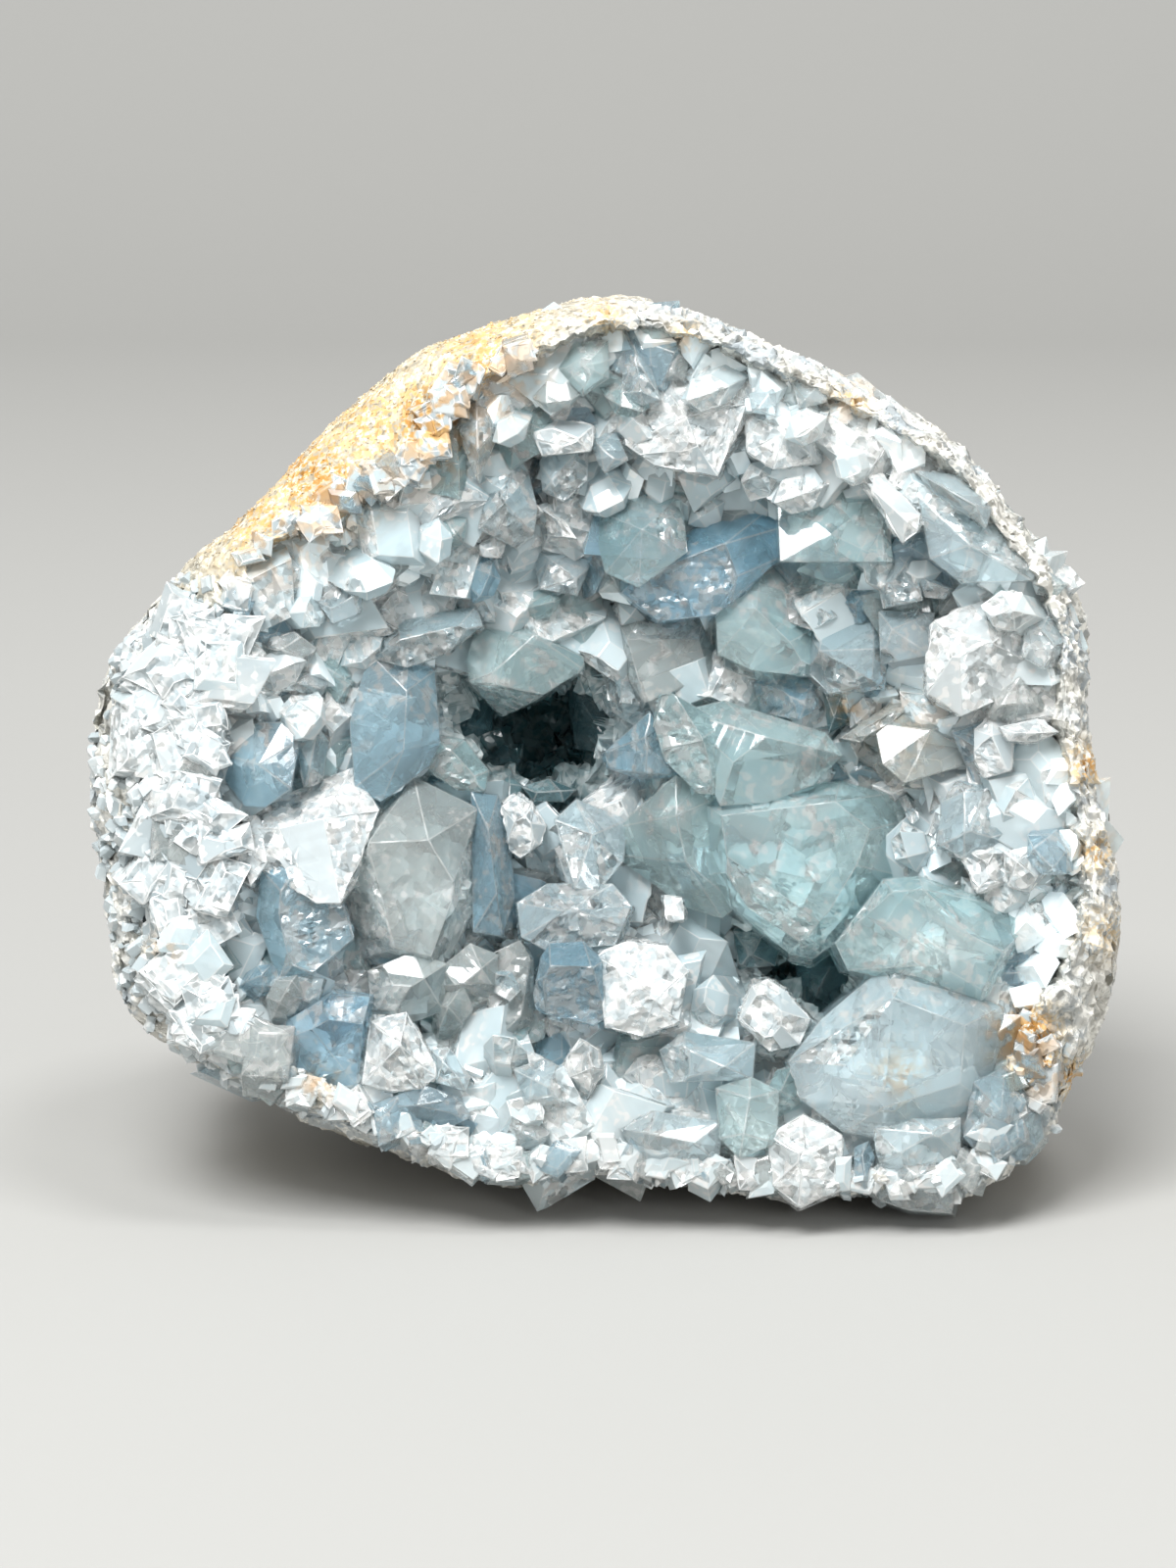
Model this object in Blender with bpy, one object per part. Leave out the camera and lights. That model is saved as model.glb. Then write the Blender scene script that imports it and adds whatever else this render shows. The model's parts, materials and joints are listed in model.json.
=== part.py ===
"""Celestite geode: half of a broken nodule that stands with its open side forward.

The open side is described as a viewer sees it square on, in picture units: x runs right, y runs down, and
depth is how far a point lies behind the broken rim, in millimetres. place() turns such a point into metres.
"""

import math
import random

import bmesh
import bpy
from mathutils import Vector, noise
from mathutils.geometry import intersect_point_tri_2d

# Driving dimensions, in millimetres and degrees
MM = 0.001
GEODE_WIDTH = 150.0
GEODE_DEPTH = 85.0
GIRTH_DEPTH = 16.0
WALL_BACK = 16.0
FACE_TILT = 12.0
NODE_GAP = 0.4
CUTTER_HEIGHT = 40.0

# Picture units: how wide the geode is in them, the middle of the view, and the distance it is seen from
PICTURE_WIDTH = 1040.0
PICTURE_CENTRE = (600.0, 800.0)
VIEW_DISTANCE = 600.0
UNIT = GEODE_WIDTH / PICTURE_WIDTH / (1 + GIRTH_DEPTH / VIEW_DISTANCE)

# Where the middle of the view lies in the finished part, which stands on z = 0 about its own middle
SHIFT = (-2.6, -41.8, 66.5)

# The geode's outline, clockwise from the top
HUB = (617.0, 775.0)
OUTLINE = (
    (619, 305), (715, 324), (819, 369), (911, 417), (985, 465), (1037, 533), (1085, 591), (1104, 650),
    (1106, 738), (1126, 826), (1137, 953), (1115, 1044), (1090, 1106), (1046, 1178), (977, 1222),
    (872, 1218), (751, 1216), (665, 1203), (606, 1193), (522, 1206), (400, 1168), (297, 1130),
    (208, 1088), (132, 1025), (114, 929), (97, 774), (110, 687), (160, 613), (256, 520), (352, 424),
    (430, 361), (519, 326),
)

# Stops round the rim, in degrees from the right, anticlockwise: how far out the rim's crest is as a share
# of the outline, and how deep the crest lies
CREST_REACH = (
    (0, 0.955), (45, 0.965), (80, 0.955), (97, 0.93), (111, 0.88), (122, 0.80), (137, 0.85), (150, 0.92),
    (160, 0.80), (180, 0.775), (200, 0.78), (214, 0.89), (235, 0.94), (270, 0.955), (312, 0.94),
    (326, 0.89), (340, 0.94),
)
CREST_DEPTH = ((0, 4.0), (90, 3.0), (135, 5.0), (180, 4.5), (225, 6.0), (270, 8.0), (315, 7.0))

# Mesh steps: points round each ring, and rings over the back, the rim band and the hollow
AROUND = 144
BACK_RINGS = 24
BAND_RINGS = 8
HOLLOW_RINGS = 8
WALL_TRIANGLES = 2500
CRUST_TRIANGLES = 7400
LINING_AROUND = 36
LINING_RINGS = 6

# Fullness of the back: smaller is boxier. The underside is fuller, so that the geode stands on it
BACK_FULLNESS = 0.68
UNDERSIDE_FULLNESS = 0.36
UNDERSIDE_BREADTH = 0.8
HOLLOW_FULLNESS = 0.6

# The crystals' growing surface: its depth behind the crest, and how much deeper it is in the middle
LINING_SET_BACK = 4.5
LINING_BOWL = 21.0

# Lumps and dents of the outside, and ledges of the broken rim
LUMP_SIZE = 30.0
LUMP_HEIGHT = 6.0
KNOB_SIZE = 10.0
KNOB_HEIGHT = 4.0
PIT_SIZE = 14.0
PIT_DEPTH = 7.0
PIT_START = 0.2
LEDGE_SIZE = 13.0
LEDGE_STEPS = 3
LEDGE_HEIGHT = (1.2, 5.0)
WIDE_BAND = 0.22

# Small crystals that fill the space between the large ones
DRUSE_SEED = 11
DRUSE_SPACING = 57.0
DRUSE_WIDTH = (6.5, 9.5)
DRUSE_RISE = (5.0, 8.5)
DRUSE_REACH = 0.95
DRUSE_INWARD = 0.55
ROOT_BURY = 5.0
ROOT_FLARE = 1.12
CHISEL_RISE = 0.22
CHISEL_LENGTH = 0.42

# Deep hollows: mouth outline and the depth of the bottom
POCKETS = (
    ("main_hollow", ((450, 700), (500, 676), (600, 680), (640, 730), (620, 800), (560, 818), (470, 800)), 56),
    ("lower_hollow", ((742, 940), (800, 915), (890, 950), (895, 1000), (850, 1046), (760, 1010)), 44),
)

# Large crystals: outline, depth of the outline's middle, lean of the outline (depth gained to the right and
# upwards), and points that stand out in front of the outline (x, y, rise)
CRYSTALS = {
    "hanging_prism": (
        ((480, 673), (489, 642), (540, 638), (591, 671), (591, 683), (547, 711), (514, 724), (482, 694)),
        18, (0.1, 0.35), ((545, 648, 4), (503, 686, 3))),
    "green_over_hollow": (
        ((552, 627), (560, 590), (598, 562), (613, 604), (612, 654), (602, 671), (568, 658)),
        21, (0.1, 0.1), ((580, 605, 3),)),
    "striped_block": (((545, 558), (589, 560), (600, 578), (588, 606), (552, 600)), 17, (-0.2, 0.7), ()),
    "white_wedge": (((547, 531), (558, 520), (570, 521), (587, 549), (550, 545)), 14, (-0.3, 0.8), ()),
    "white_pebble": (((489, 556), (503, 547), (515, 555), (508, 569), (494, 568)), 12, (0, 0.3), ()),
    "pale_left_ledge": (
        ((407, 633), (482, 621), (489, 640), (447, 669), (417, 679), (377, 669)), 13, (-0.2, 0.6), ()),
    "blue_left_of_hollow": (
        ((378, 671), (416, 673), (441, 688), (446, 757), (436, 778), (390, 813), (365, 799), (360, 738)),
        13, (0.2, 0.1), ((415, 705, 3), (412, 765, 3))),
    "under_left_of_hollow": (
        ((446, 751), (474, 757), (497, 786), (493, 805), (464, 803), (436, 782)), 17, (0.3, 0.4), ()),
    "vivid_blue": (
        ((642, 602), (692, 575), (722, 531), (784, 521), (810, 536), (797, 567), (759, 584), (732, 623),
         (678, 629)),
        13, (0.0, 0.4), ((738, 556, 5), (716, 604, 4))),
    "block_below_blue": (
        ((636, 640), (659, 623), (721, 621), (738, 640), (738, 703), (692, 711), (657, 721), (636, 680)),
        22, (0.1, 0.1), ((640, 652, 5), (713, 652, 5), (723, 690, 5), (658, 717, 4))),
    "thin_prism_beside_block": (
        ((611, 657), (634, 642), (642, 690), (654, 718), (638, 732), (625, 724)), 22, (-0.4, 0.0), ()),
    "green_cluster": (
        ((734, 617), (759, 586), (778, 575), (801, 590), (809, 632), (828, 640), (824, 686), (768, 680),
         (736, 665)),
        14, (0.1, 0.3), ((772, 622, 4), (806, 655, 3))),
    "facet_in_cluster": (((803, 607), (849, 607), (852, 630), (828, 642), (806, 634)), 12, (0.1, 0.7), ()),
    "white_topped_block": (
        ((826, 684), (828, 648), (848, 621), (888, 624), (902, 660), (900, 701), (847, 705)),
        14, (0.0, 0.2), ((836, 664, 4), (892, 662, 4), (890, 694, 3))),
    "broad_upper_right": (
        ((797, 505), (850, 490), (903, 500), (905, 570), (800, 570)), 9, (0.0, 0.5), ((848, 545, 2),)),
    "teal_lens": (((803, 600), (820, 585), (850, 585), (863, 600), (845, 615), (815, 614)), 14, (0, 0.4), ()),
    "pale_green_upper": (
        ((604, 520), (640, 508), (692, 512), (698, 562), (652, 596), (620, 582)),
        12, (-0.2, 0.4), ((655, 540, 4),)),
    "grey_sliver": (((600, 561), (631, 563), (632, 603), (612, 603)), 17, (-0.4, 0.2), ()),
    "blue_below_cluster": (
        ((770, 697), (800, 690), (837, 697), (837, 720), (815, 733), (780, 727)), 16, (0.0, 0.5), ()),
    "teal_shadow": (((839, 697), (868, 699), (868, 735), (846, 747)), 18, (0.4, 0.0), ()),
    "white_flake": (
        ((871, 481), (894, 479), (937, 525), (935, 540), (920, 552), (893, 517)), 4, (-0.5, 0.6), ()),
    "upper_right_slab": (
        ((940, 508), (960, 506), (1023, 544), (1053, 578), (1050, 590), (982, 592), (952, 569)),
        5, (0.2, 0.3), ((990, 556, 3),)),
    "upper_right_ledge": (((936, 482), (982, 486), (1010, 518), (1004, 536), (954, 504)), 4, (0.1, 0.6), ()),
    "grey_tooth": (((896, 590), (912, 563), (933, 561), (940, 611), (902, 619)), 9, (-0.3, 0.4), ()),
    "small_wedge_right": (((937, 584), (975, 602), (963, 611), (944, 609)), 7, (0.2, 0.6), ()),
    "right_block": (((898, 625), (952, 626), (948, 667), (901, 676)), 10, (0.0, 0.2), ((910, 642, 2),)),
    "silver_fractured": (
        ((948, 672), (956, 636), (1002, 617), (1047, 632), (1047, 676), (1013, 713), (982, 726), (950, 705)),
        6, (0.1, 0.1), ((978, 660, 4), (1012, 656, 4))),
    "edge_block": (
        ((1047, 640), (1070, 630), (1093, 642), (1093, 672), (1065, 682), (1047, 670)), 5, (0.3, 0.2), ()),
    "lilac_wedge": (((1003, 722), (1040, 692), (1061, 713), (1070, 730), (1015, 736)), 7, (0.2, -0.4), ()),
    "small_edge_tip": (((1053, 592), (1070, 584), (1088, 596), (1078, 609), (1058, 606)), 6, (0.2, 0.3), ()),
    "left_white_facet": (((228, 668), (250, 654), (270, 667), (262, 690), (235, 688)), 6, (-0.3, 0.7), ()),
    "grey_blue_face": (
        ((222, 768), (263, 740), (286, 740), (303, 757), (295, 803), (270, 821), (251, 820), (226, 788)),
        7, (-0.3, 0.1), ((264, 780, 3),)),
    "left_prism": (((301, 748), (320, 736), (335, 757), (329, 792), (312, 801)), 10, (0.4, 0.1), ()),
    "dark_left_facet": (((268, 656), (300, 646), (322, 662), (310, 684), (280, 686)), 9, (0.1, -0.4), ()),
    "left_small_block": (((291, 692), (320, 684), (334, 698), (324, 714), (298, 711)), 10, (0.2, 0.3), ()),
    "leaf_shape": (((324, 613), (345, 596), (374, 601), (364, 626), (340, 635)), 9, (-0.2, 0.5), ()),
    "broken_round_left": (
        ((211, 852), (235, 836), (263, 833), (270, 879), (255, 902), (214, 876)),
        7, (-0.2, 0.3), ((242, 862, 3),)),
    "blue_flaky": (
        ((269, 890), (290, 879), (314, 898), (347, 919), (355, 957), (316, 991), (286, 997), (264, 935)),
        7, (-0.2, 0.0), ((305, 930, 4), (325, 950, 4))),
    "flaky_slab": (
        ((209, 846), (267, 818), (356, 789), (382, 829), (367, 874), (345, 917), (322, 917), (262, 868)),
        9, (-0.1, 0.5), ((330, 835, 4), (285, 845, 3))),
    "low_left_block": (((258, 1002), (290, 992), (328, 1000), (320, 1032), (272, 1030)), 8, (-0.2, -0.2), ()),
    "smoky_block": (
        ((352, 966), (353, 918), (374, 850), (422, 800), (459, 830), (483, 831), (478, 921), (447, 995),
         (430, 984)),
        15, (0.0, 0.0), ((376, 860, 7), (437, 857, 7), (466, 905, 6), (440, 976, 6), (360, 958, 6))),
    "white_rounded_tooth": (
        ((514, 822), (528, 814), (543, 820), (556, 842), (549, 861), (531, 874), (520, 866)),
        16, (0.0, 0.3), ((533, 838, 4),)),
    "tall_blue": (
        ((482, 812), (508, 817), (518, 846), (513, 882), (524, 913), (512, 950), (484, 946), (480, 867)),
        16, (0.5, 0.2), ()),
    "light_block": (
        ((568, 838), (589, 819), (638, 838), (634, 878), (612, 904), (587, 904), (574, 858)),
        17, (0.3, 0.5), ((604, 852, 3),)),
    "broad_pale_blue": (
        ((531, 922), (560, 904), (622, 904), (640, 925), (625, 962), (560, 968), (535, 955)),
        13, (0.0, 0.4), ((580, 930, 3),)),
    "low_blue_prism": (
        ((547, 1012), (554, 978), (562, 965), (594, 963), (614, 982), (614, 1037), (604, 1043), (553, 1030)),
        10, (0.0, 0.1), ((562, 986, 4), (604, 988, 4), (602, 1034, 3))),
    "small_bright_facet": (((506, 992), (522, 992), (531, 1010), (520, 1021), (505, 1012)), 12, (0, 0.5), ()),
    "smoky_low": (
        ((378, 992), (420, 974), (453, 985), (450, 1030), (410, 1044), (382, 1030)), 11, (0.1, -0.2), ()),
    "grey_low": (
        ((453, 987), (480, 965), (506, 976), (506, 1013), (475, 1028), (456, 1020)), 12, (0.2, 0.2), ()),
    "grey_low_right": (
        ((499, 1024), (503, 976), (530, 963), (543, 982), (543, 1040), (516, 1060)), 14, (0.3, -0.2), ()),
    "wing_left": (
        ((671, 744), (677, 713), (687, 711), (709, 727), (738, 740), (747, 762), (742, 792), (733, 807),
         (713, 806), (681, 775)),
        12, (0.3, 0.1), ((708, 758, 4),)),
    "wing_right": (
        ((700, 729), (742, 719), (799, 736), (839, 750), (854, 771), (826, 799), (784, 815), (738, 819),
         (733, 806)),
        13, (0.0, 0.2), ((782, 752, 5), (748, 778, 4), (834, 764, 4))),
    "great_crystal": (
        ((722, 822), (738, 817), (854, 803), (900, 815), (910, 842), (906, 891), (866, 945), (828, 971),
         (806, 966), (751, 922), (732, 891)),
        16, (0.0, 0.1),
        ((736, 832, 6), (788, 833, 7), (852, 818, 7), (888, 847, 6), (874, 883, 7), (846, 930, 7),
         (820, 957, 6), (774, 928, 6), (744, 890, 6))),
    "dark_prism_beside_great": (
        ((629, 872), (636, 846), (690, 797), (722, 822), (726, 863), (749, 920), (734, 933), (699, 922),
         (661, 895)),
        18, (-0.3, -0.2), ((690, 832, 4), (700, 880, 4))),
    "dark_blue_wedge": (
        ((621, 767), (663, 729), (673, 745), (690, 780), (692, 791), (655, 794), (625, 784)),
        18, (-0.4, -0.2), ()),
    "white_chip": (((678, 914), (696, 916), (698, 938), (681, 939)), 14, (0.0, 0.4), ()),
    "white_mass": (
        ((613, 978), (640, 964), (680, 968), (699, 992), (690, 1040), (655, 1054), (620, 1045)),
        9, (-0.1, 0.2), ((650, 1000, 3), (668, 1020, 3))),
    "smoky_green": (
        ((896, 739), (944, 711), (982, 725), (1000, 733), (1002, 773), (956, 778), (925, 796), (904, 778)),
        13, (0.2, 0.6), ((950, 745, 3),)),
    "striped_ledge": (((860, 752), (910, 717), (944, 712), (905, 744), (879, 756)), 14, (0.0, 0.9), ()),
    "right_cube": (
        ((962, 820), (976, 799), (1013, 803), (1037, 853), (984, 886), (958, 863)), 10, (0.0, 0.2),
        ((984, 808, 3), (1010, 806, 3), (1024, 838, 4), (984, 850, 4))),
    "needle": (((917, 815), (925, 812), (938, 835), (930, 840)), 12, (-0.2, 0.5), ()),
    "right_chip": (((982, 872), (1010, 859), (1028, 872), (1026, 900), (998, 910)), 8, (0.1, 0.2), ()),
    "beige_rough": (((1026, 870), (1060, 863), (1070, 888), (1050, 909), (1030, 903)), 6, (0.3, 0.0), ()),
    "broken_white_right": (
        ((994, 745), (1012, 731), (1032, 747), (1030, 785), (1005, 792), (995, 775)), 7, (0.0, 0.3), ()),
    "edge_flake": (((1021, 742), (1058, 734), (1080, 747), (1058, 757), (1030, 756)), 5, (0.2, 0.6), ()),
    "lower_right_block": (
        ((860, 962), (878, 944), (906, 902), (940, 899), (1032, 930), (1055, 953), (1052, 992), (1030, 1024),
         (988, 1012), (872, 988)),
        10, (0.0, 0.1),
        ((910, 910, 4), (942, 907, 5), (990, 955, 5), (956, 984, 5), (930, 952, 4), (1026, 972, 4))),
    "largest_lower_right": (
        ((812, 1083), (845, 1042), (904, 992), (930, 994), (1016, 1031), (1018, 1050), (998, 1120),
         (972, 1136), (899, 1155), (865, 1150), (824, 1118)),
        9, (0.0, 0.1),
        ((912, 1018, 6), (985, 1046, 6), (980, 1106, 5), (902, 1130, 5), (862, 1088, 4))),
    "dark_blue_low_right": (
        ((989, 1130), (995, 1107), (1025, 1093), (1057, 1120), (1062, 1159), (1044, 1181), (1009, 1186),
         (985, 1159)),
        8, (0.3, -0.2), ((1022, 1134, 3),)),
    "low_right_shelf": (
        ((894, 1152), (930, 1142), (977, 1145), (977, 1180), (940, 1196), (900, 1185)), 7, (0.0, -0.2), ()),
    "lowest_tip": (
        ((888, 1198), (910, 1180), (950, 1176), (977, 1196), (968, 1236), (930, 1234), (900, 1224)),
        9, (0.0, -0.3), ((936, 1200, 3),)),
    "low_blue_strip": (((872, 1173), (886, 1166), (892, 1182), (885, 1218), (873, 1214)), 8, (0.4, 0.0), ()),
    "top_tooth": (((434, 472), (438, 447), (446, 443), (457, 473)), 9, (0.3, 0.2), ()),
    "hanging_triangle": (((458, 420), (487, 414), (515, 425), (488, 488)), 8, (0.0, 0.3), ()),
    "rounded_upper_left": (
        ((503, 482), (526, 473), (539, 487), (547, 519), (543, 544), (527, 556), (490, 538)),
        10, (0.0, 0.2), ((515, 512, 4),)),
    "broken_white_top": (((543, 440), (570, 429), (604, 435), (600, 460), (555, 464)), 8, (0.0, 0.5), ()),
    "silver_top": (
        ((552, 472), (566, 448), (598, 450), (598, 490), (575, 510), (555, 500)), 11, (-0.2, 0.3), ()),
    "clear_prism": (((602, 447), (627, 441), (640, 469), (617, 482), (610, 470)), 9, (-0.3, 0.3), ()),
    "aqua_rounded": (
        ((570, 376), (588, 351), (619, 348), (620, 385), (595, 402)), 6, (-0.1, 0.2), ((597, 374, 3),)),
    "aqua_at_top": (((654, 335), (670, 321), (692, 330), (690, 343), (665, 346)), 6, (0.0, 0.4), ()),
    "grey_brown_chip": (((671, 361), (690, 351), (703, 366), (698, 387), (675, 388)), 7, (0.1, 0.2), ()),
    "spire": (((633, 400), (640, 360), (646, 340), (660, 365), (673, 406), (655, 412)), 6, (-0.3, 0.4), ()),
    "silver_top_slab": (
        ((646, 430), (673, 388), (715, 380), (759, 412), (747, 430), (730, 482), (671, 472), (642, 452)),
        7, (-0.2, 0.4), ((700, 425, 4), (712, 455, 3))),
    "grey_side_strip": (((728, 458), (757, 414), (766, 410), (766, 438), (732, 482)), 8, (0.6, 0.2), ()),
    "flaky_top_right": (
        ((763, 422), (800, 414), (839, 431), (835, 470), (790, 477), (765, 460)),
        7, (0.0, 0.4), ((800, 442, 3),)),
    "bar_facet": (((765, 402), (791, 393), (791, 424), (768, 420)), 5, (-0.2, 0.6), ()),
    "beige_top": (((809, 391), (843, 384), (843, 410), (816, 416)), 5, (0.0, 0.4), ()),
    "dark_small_facet": (((778, 498), (800, 491), (807, 508), (786, 512)), 12, (0.0, -0.3), ()),
    "blue_underside": (
        ((210, 1092), (243, 1075), (287, 1052), (335, 1019), (368, 1024), (358, 1104), (310, 1102),
         (263, 1116)),
        9, (-0.2, -0.5), ((318, 1050, 3),)),
    "edge_crystal_low_left": (
        ((284, 1124), (291, 1098), (314, 1111), (336, 1130), (300, 1134)), 9, (0.0, -0.3), ()),
    "white_tipped_low": (
        ((379, 1044), (415, 1035), (440, 1082), (442, 1098), (430, 1109), (398, 1111), (372, 1105)),
        7, (-0.1, 0.2), ((408, 1066, 5),)),
    "small_low_prism": (((442, 1073), (459, 1071), (479, 1098), (474, 1112), (446, 1104)), 8, (0.2, 0.2), ()),
    "blue_lens_low": (
        ((372, 1132), (433, 1109), (467, 1123), (476, 1140), (446, 1155), (408, 1165), (385, 1157)),
        8, (0.0, -0.4), ((425, 1128, 2),)),
    "low_middle_block": (
        ((526, 1092), (555, 1082), (584, 1096), (574, 1130), (540, 1136)), 9, (0.0, 0.2), ()),
    "dark_low_face": (((524, 1151), (545, 1144), (561, 1155), (550, 1174), (530, 1170)), 9, (0.0, -0.5), ()),
    "white_cube_low": (
        ((757, 1040), (769, 1007), (784, 1001), (800, 1012), (824, 1040), (815, 1064), (785, 1071)),
        11, (0.1, 0.2), ((778, 1026, 5),)),
    "pale_low_slab": (((676, 1072), (700, 1054), (767, 1065), (765, 1100), (687, 1103)), 9, (0.0, 0.4), ()),
    "clear_low_block": (
        ((732, 1112), (765, 1101), (793, 1115), (790, 1165), (755, 1179), (736, 1160)), 7, (0.0, 0.1), ()),
    "low_wide_block": (((636, 1152), (670, 1136), (734, 1146), (730, 1185), (660, 1190)), 8, (0.0, -0.1), ()),
    "white_round_low": (
        ((786, 1160), (820, 1140), (857, 1162), (855, 1212), (815, 1228), (791, 1208)),
        7, (0.0, 0.0), ((820, 1180, 3),)),
    "brown_in_hollow": (((459, 722), (478, 700), (503, 707), (500, 744), (472, 756)), 36, (0.2, 0.2), ()),
    "flat_in_hollow": (((579, 694), (620, 702), (626, 768), (588, 762)), 35, (-0.6, 0.1), ()),
    "low_in_hollow": (((494, 776), (514, 761), (531, 776), (520, 792), (499, 790)), 38, (0.0, 0.5), ()),
    "lip_left": (((507, 802), (520, 792), (533, 802), (527, 818), (511, 817)), 27, (0.0, 0.4), ()),
    "lip_right": (((534, 803), (560, 795), (586, 806), (574, 818), (545, 817)), 26, (0.0, 0.5), ()),
    "face_in_lower_hollow": (
        ((813, 988), (840, 970), (866, 987), (855, 1030), (822, 1036)), 31, (-0.2, 0.2), ()),
    "edge_in_lower_hollow": (
        ((749, 950), (770, 938), (797, 952), (790, 984), (756, 986)), 27, (0.3, 0.2), ()),
}

# Surface colours: what the wall and the crystals look like from a step away
WALL_COLOUR = (0.80, 0.77, 0.70, 1.0)
CRYSTAL_COLOUR = (0.56, 0.70, 0.76, 1.0)


def place(x, y, depth):
    """World point of a place on the picture, so many millimetres behind the rim."""
    spread = UNIT * (1 + depth / VIEW_DISTANCE)
    right = (x - PICTURE_CENTRE[0]) * spread
    up = (PICTURE_CENTRE[1] - y) * spread
    tilt = math.radians(FACE_TILT)
    forward = up * math.sin(tilt) + depth * math.cos(tilt)
    height = up * math.cos(tilt) - depth * math.sin(tilt)
    return MM * (Vector((right, forward, height)) + Vector(SHIFT))


def smooth_stop(stops, angle):
    """Value at an angle, from (angle, value) stops round a circle, passing smoothly through them."""
    count = len(stops)
    angle = angle % 360.0
    after = next((i for i, (at, _) in enumerate(stops) if at > angle), count)
    around = [stops[(after + k) % count] for k in (-2, -1, 0, 1)]
    start = around[1][0]
    span = (around[2][0] - start) % 360.0 or 360.0
    share = ((angle - start) % 360.0) / span
    slopes = []
    for k in (0, 1):
        gap = (around[k + 2][0] - around[k][0]) % 360.0
        slopes.append((around[k + 2][1] - around[k][1]) / gap * span)
    low, high = around[1][1], around[2][1]
    square, cube = share * share, share ** 3
    return (
        low * (2 * cube - 3 * square + 1)
        + slopes[0] * (cube - 2 * square + share)
        + high * (3 * square - 2 * cube)
        + slopes[1] * (cube - square)
    )


def polar_outline():
    """The outline as (angle, radius) stops about the hub."""
    stops = []
    for x, y in OUTLINE:
        across, up = x - HUB[0], HUB[1] - y
        stops.append((math.degrees(math.atan2(up, across)) % 360.0, math.hypot(across, up)))
    return sorted(stops)


OUTLINE_STOPS = polar_outline()


def ray_point(angle, share, depth):
    """Point on the ray at an angle from the hub, at a share of the outline's radius."""
    radius = smooth_stop(OUTLINE_STOPS, angle) * share
    turn = math.radians(angle)
    return place(HUB[0] + radius * math.cos(turn), HUB[1] - radius * math.sin(turn), depth)


def underside(angle):
    """1 at the very bottom of the outline, falling to 0 at its sides."""
    return max(0.0, -math.sin(math.radians(angle))) ** UNDERSIDE_BREADTH


def back_point(angle, rise):
    """Outside of the back: rise is 0 at the girth and 90 at the rearmost point."""
    fullness = BACK_FULLNESS + (UNDERSIDE_FULLNESS - BACK_FULLNESS) * underside(angle)
    bend = math.radians(rise)
    depth = GIRTH_DEPTH + (GEODE_DEPTH - GIRTH_DEPTH) * math.sin(bend)
    return ray_point(angle, max(0.0, math.cos(bend)) ** fullness, depth)


def band_point(angle, rise):
    """Band between the rim's crest (0) and the girth (90)."""
    crest = smooth_stop(CREST_REACH, angle)
    depth = smooth_stop(CREST_DEPTH, angle)
    bend = math.radians(rise)
    share = crest + (1 - crest) * math.sin(bend)
    return ray_point(angle, share, GIRTH_DEPTH - (GIRTH_DEPTH - depth) * math.cos(bend))


def hollow_point(angle, rise):
    """Inside of the wall: rise is 0 at the crest and 90 at the bottom of the bowl."""
    crest = smooth_stop(CREST_REACH, angle)
    depth = smooth_stop(CREST_DEPTH, angle)
    bend = math.radians(rise)
    bottom = GEODE_DEPTH - WALL_BACK
    share = (crest - 0.025) * max(0.0, math.cos(bend)) ** HOLLOW_FULLNESS
    return ray_point(angle, share, depth + (bottom - depth) * math.sin(bend))


def lumps(point, size, height):
    """Offset in metres of rounded lumps and dents at a world point."""
    return MM * height * noise.noise(point / (MM * size))


def outside_relief(point):
    """Broad lumps, small knobs and scattered pits of the nodule's outside."""
    knob = abs(noise.noise(point / (MM * KNOB_SIZE)))
    pit = max(0.0, noise.noise(point / (MM * PIT_SIZE) + Vector((7.0, 3.0, 1.0))) - PIT_START)
    return lumps(point, LUMP_SIZE, LUMP_HEIGHT) + MM * (KNOB_HEIGHT * knob - PIT_DEPTH * pit)


def ledge_relief(point, angle):
    """Flat steps of the broken wall along the rim, higher where the wall shows broad."""
    low, high = LEDGE_HEIGHT
    height = low + (high - low) * (1 - smooth_stop(CREST_REACH, angle)) / WIDE_BAND
    rough = noise.noise(point / (MM * LEDGE_SIZE)) + 0.5 * noise.noise(point / (MM * LEDGE_SIZE / 2))
    return MM * height * abs(round(rough * LEDGE_STEPS) / LEDGE_STEPS)


def loft(name, rings, first_pole, last_pole):
    """Closed mesh object through rings of points, closed by a point at each end."""
    mesh = bmesh.new()
    rows = [[mesh.verts.new(point) for point in ring] for ring in rings]
    for row, following in zip(rows, rows[1:]):
        for k in range(len(row)):
            after = (k + 1) % len(row)
            mesh.faces.new((row[k], row[after], following[after], following[k]))
    for row, pole in ((rows[0], first_pole), (rows[-1], last_pole)):
        tip = mesh.verts.new(pole)
        for k in range(len(row)):
            mesh.faces.new((row[k], row[(k + 1) % len(row)], tip))
    bmesh.ops.recalc_face_normals(mesh, faces=mesh.faces)
    bmesh.ops.triangulate(mesh, faces=mesh.faces)
    return new_object(name, mesh)


def new_object(name, mesh):
    """Object made from a bmesh, which is freed."""
    data = bpy.data.meshes.new(name)
    mesh.to_mesh(data)
    mesh.free()
    made = bpy.data.objects.new(name, data)
    bpy.context.collection.objects.link(made)
    return made


def as_guide(helper):
    """Mark an object as a cutter that isn't part of the geode."""
    helper.hide_render = True
    helper.display_type = "WIRE"
    return helper


def mean_point(points):
    """Middle of some points."""
    return sum(points, Vector((0.0, 0.0, 0.0))) / len(points)


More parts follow.
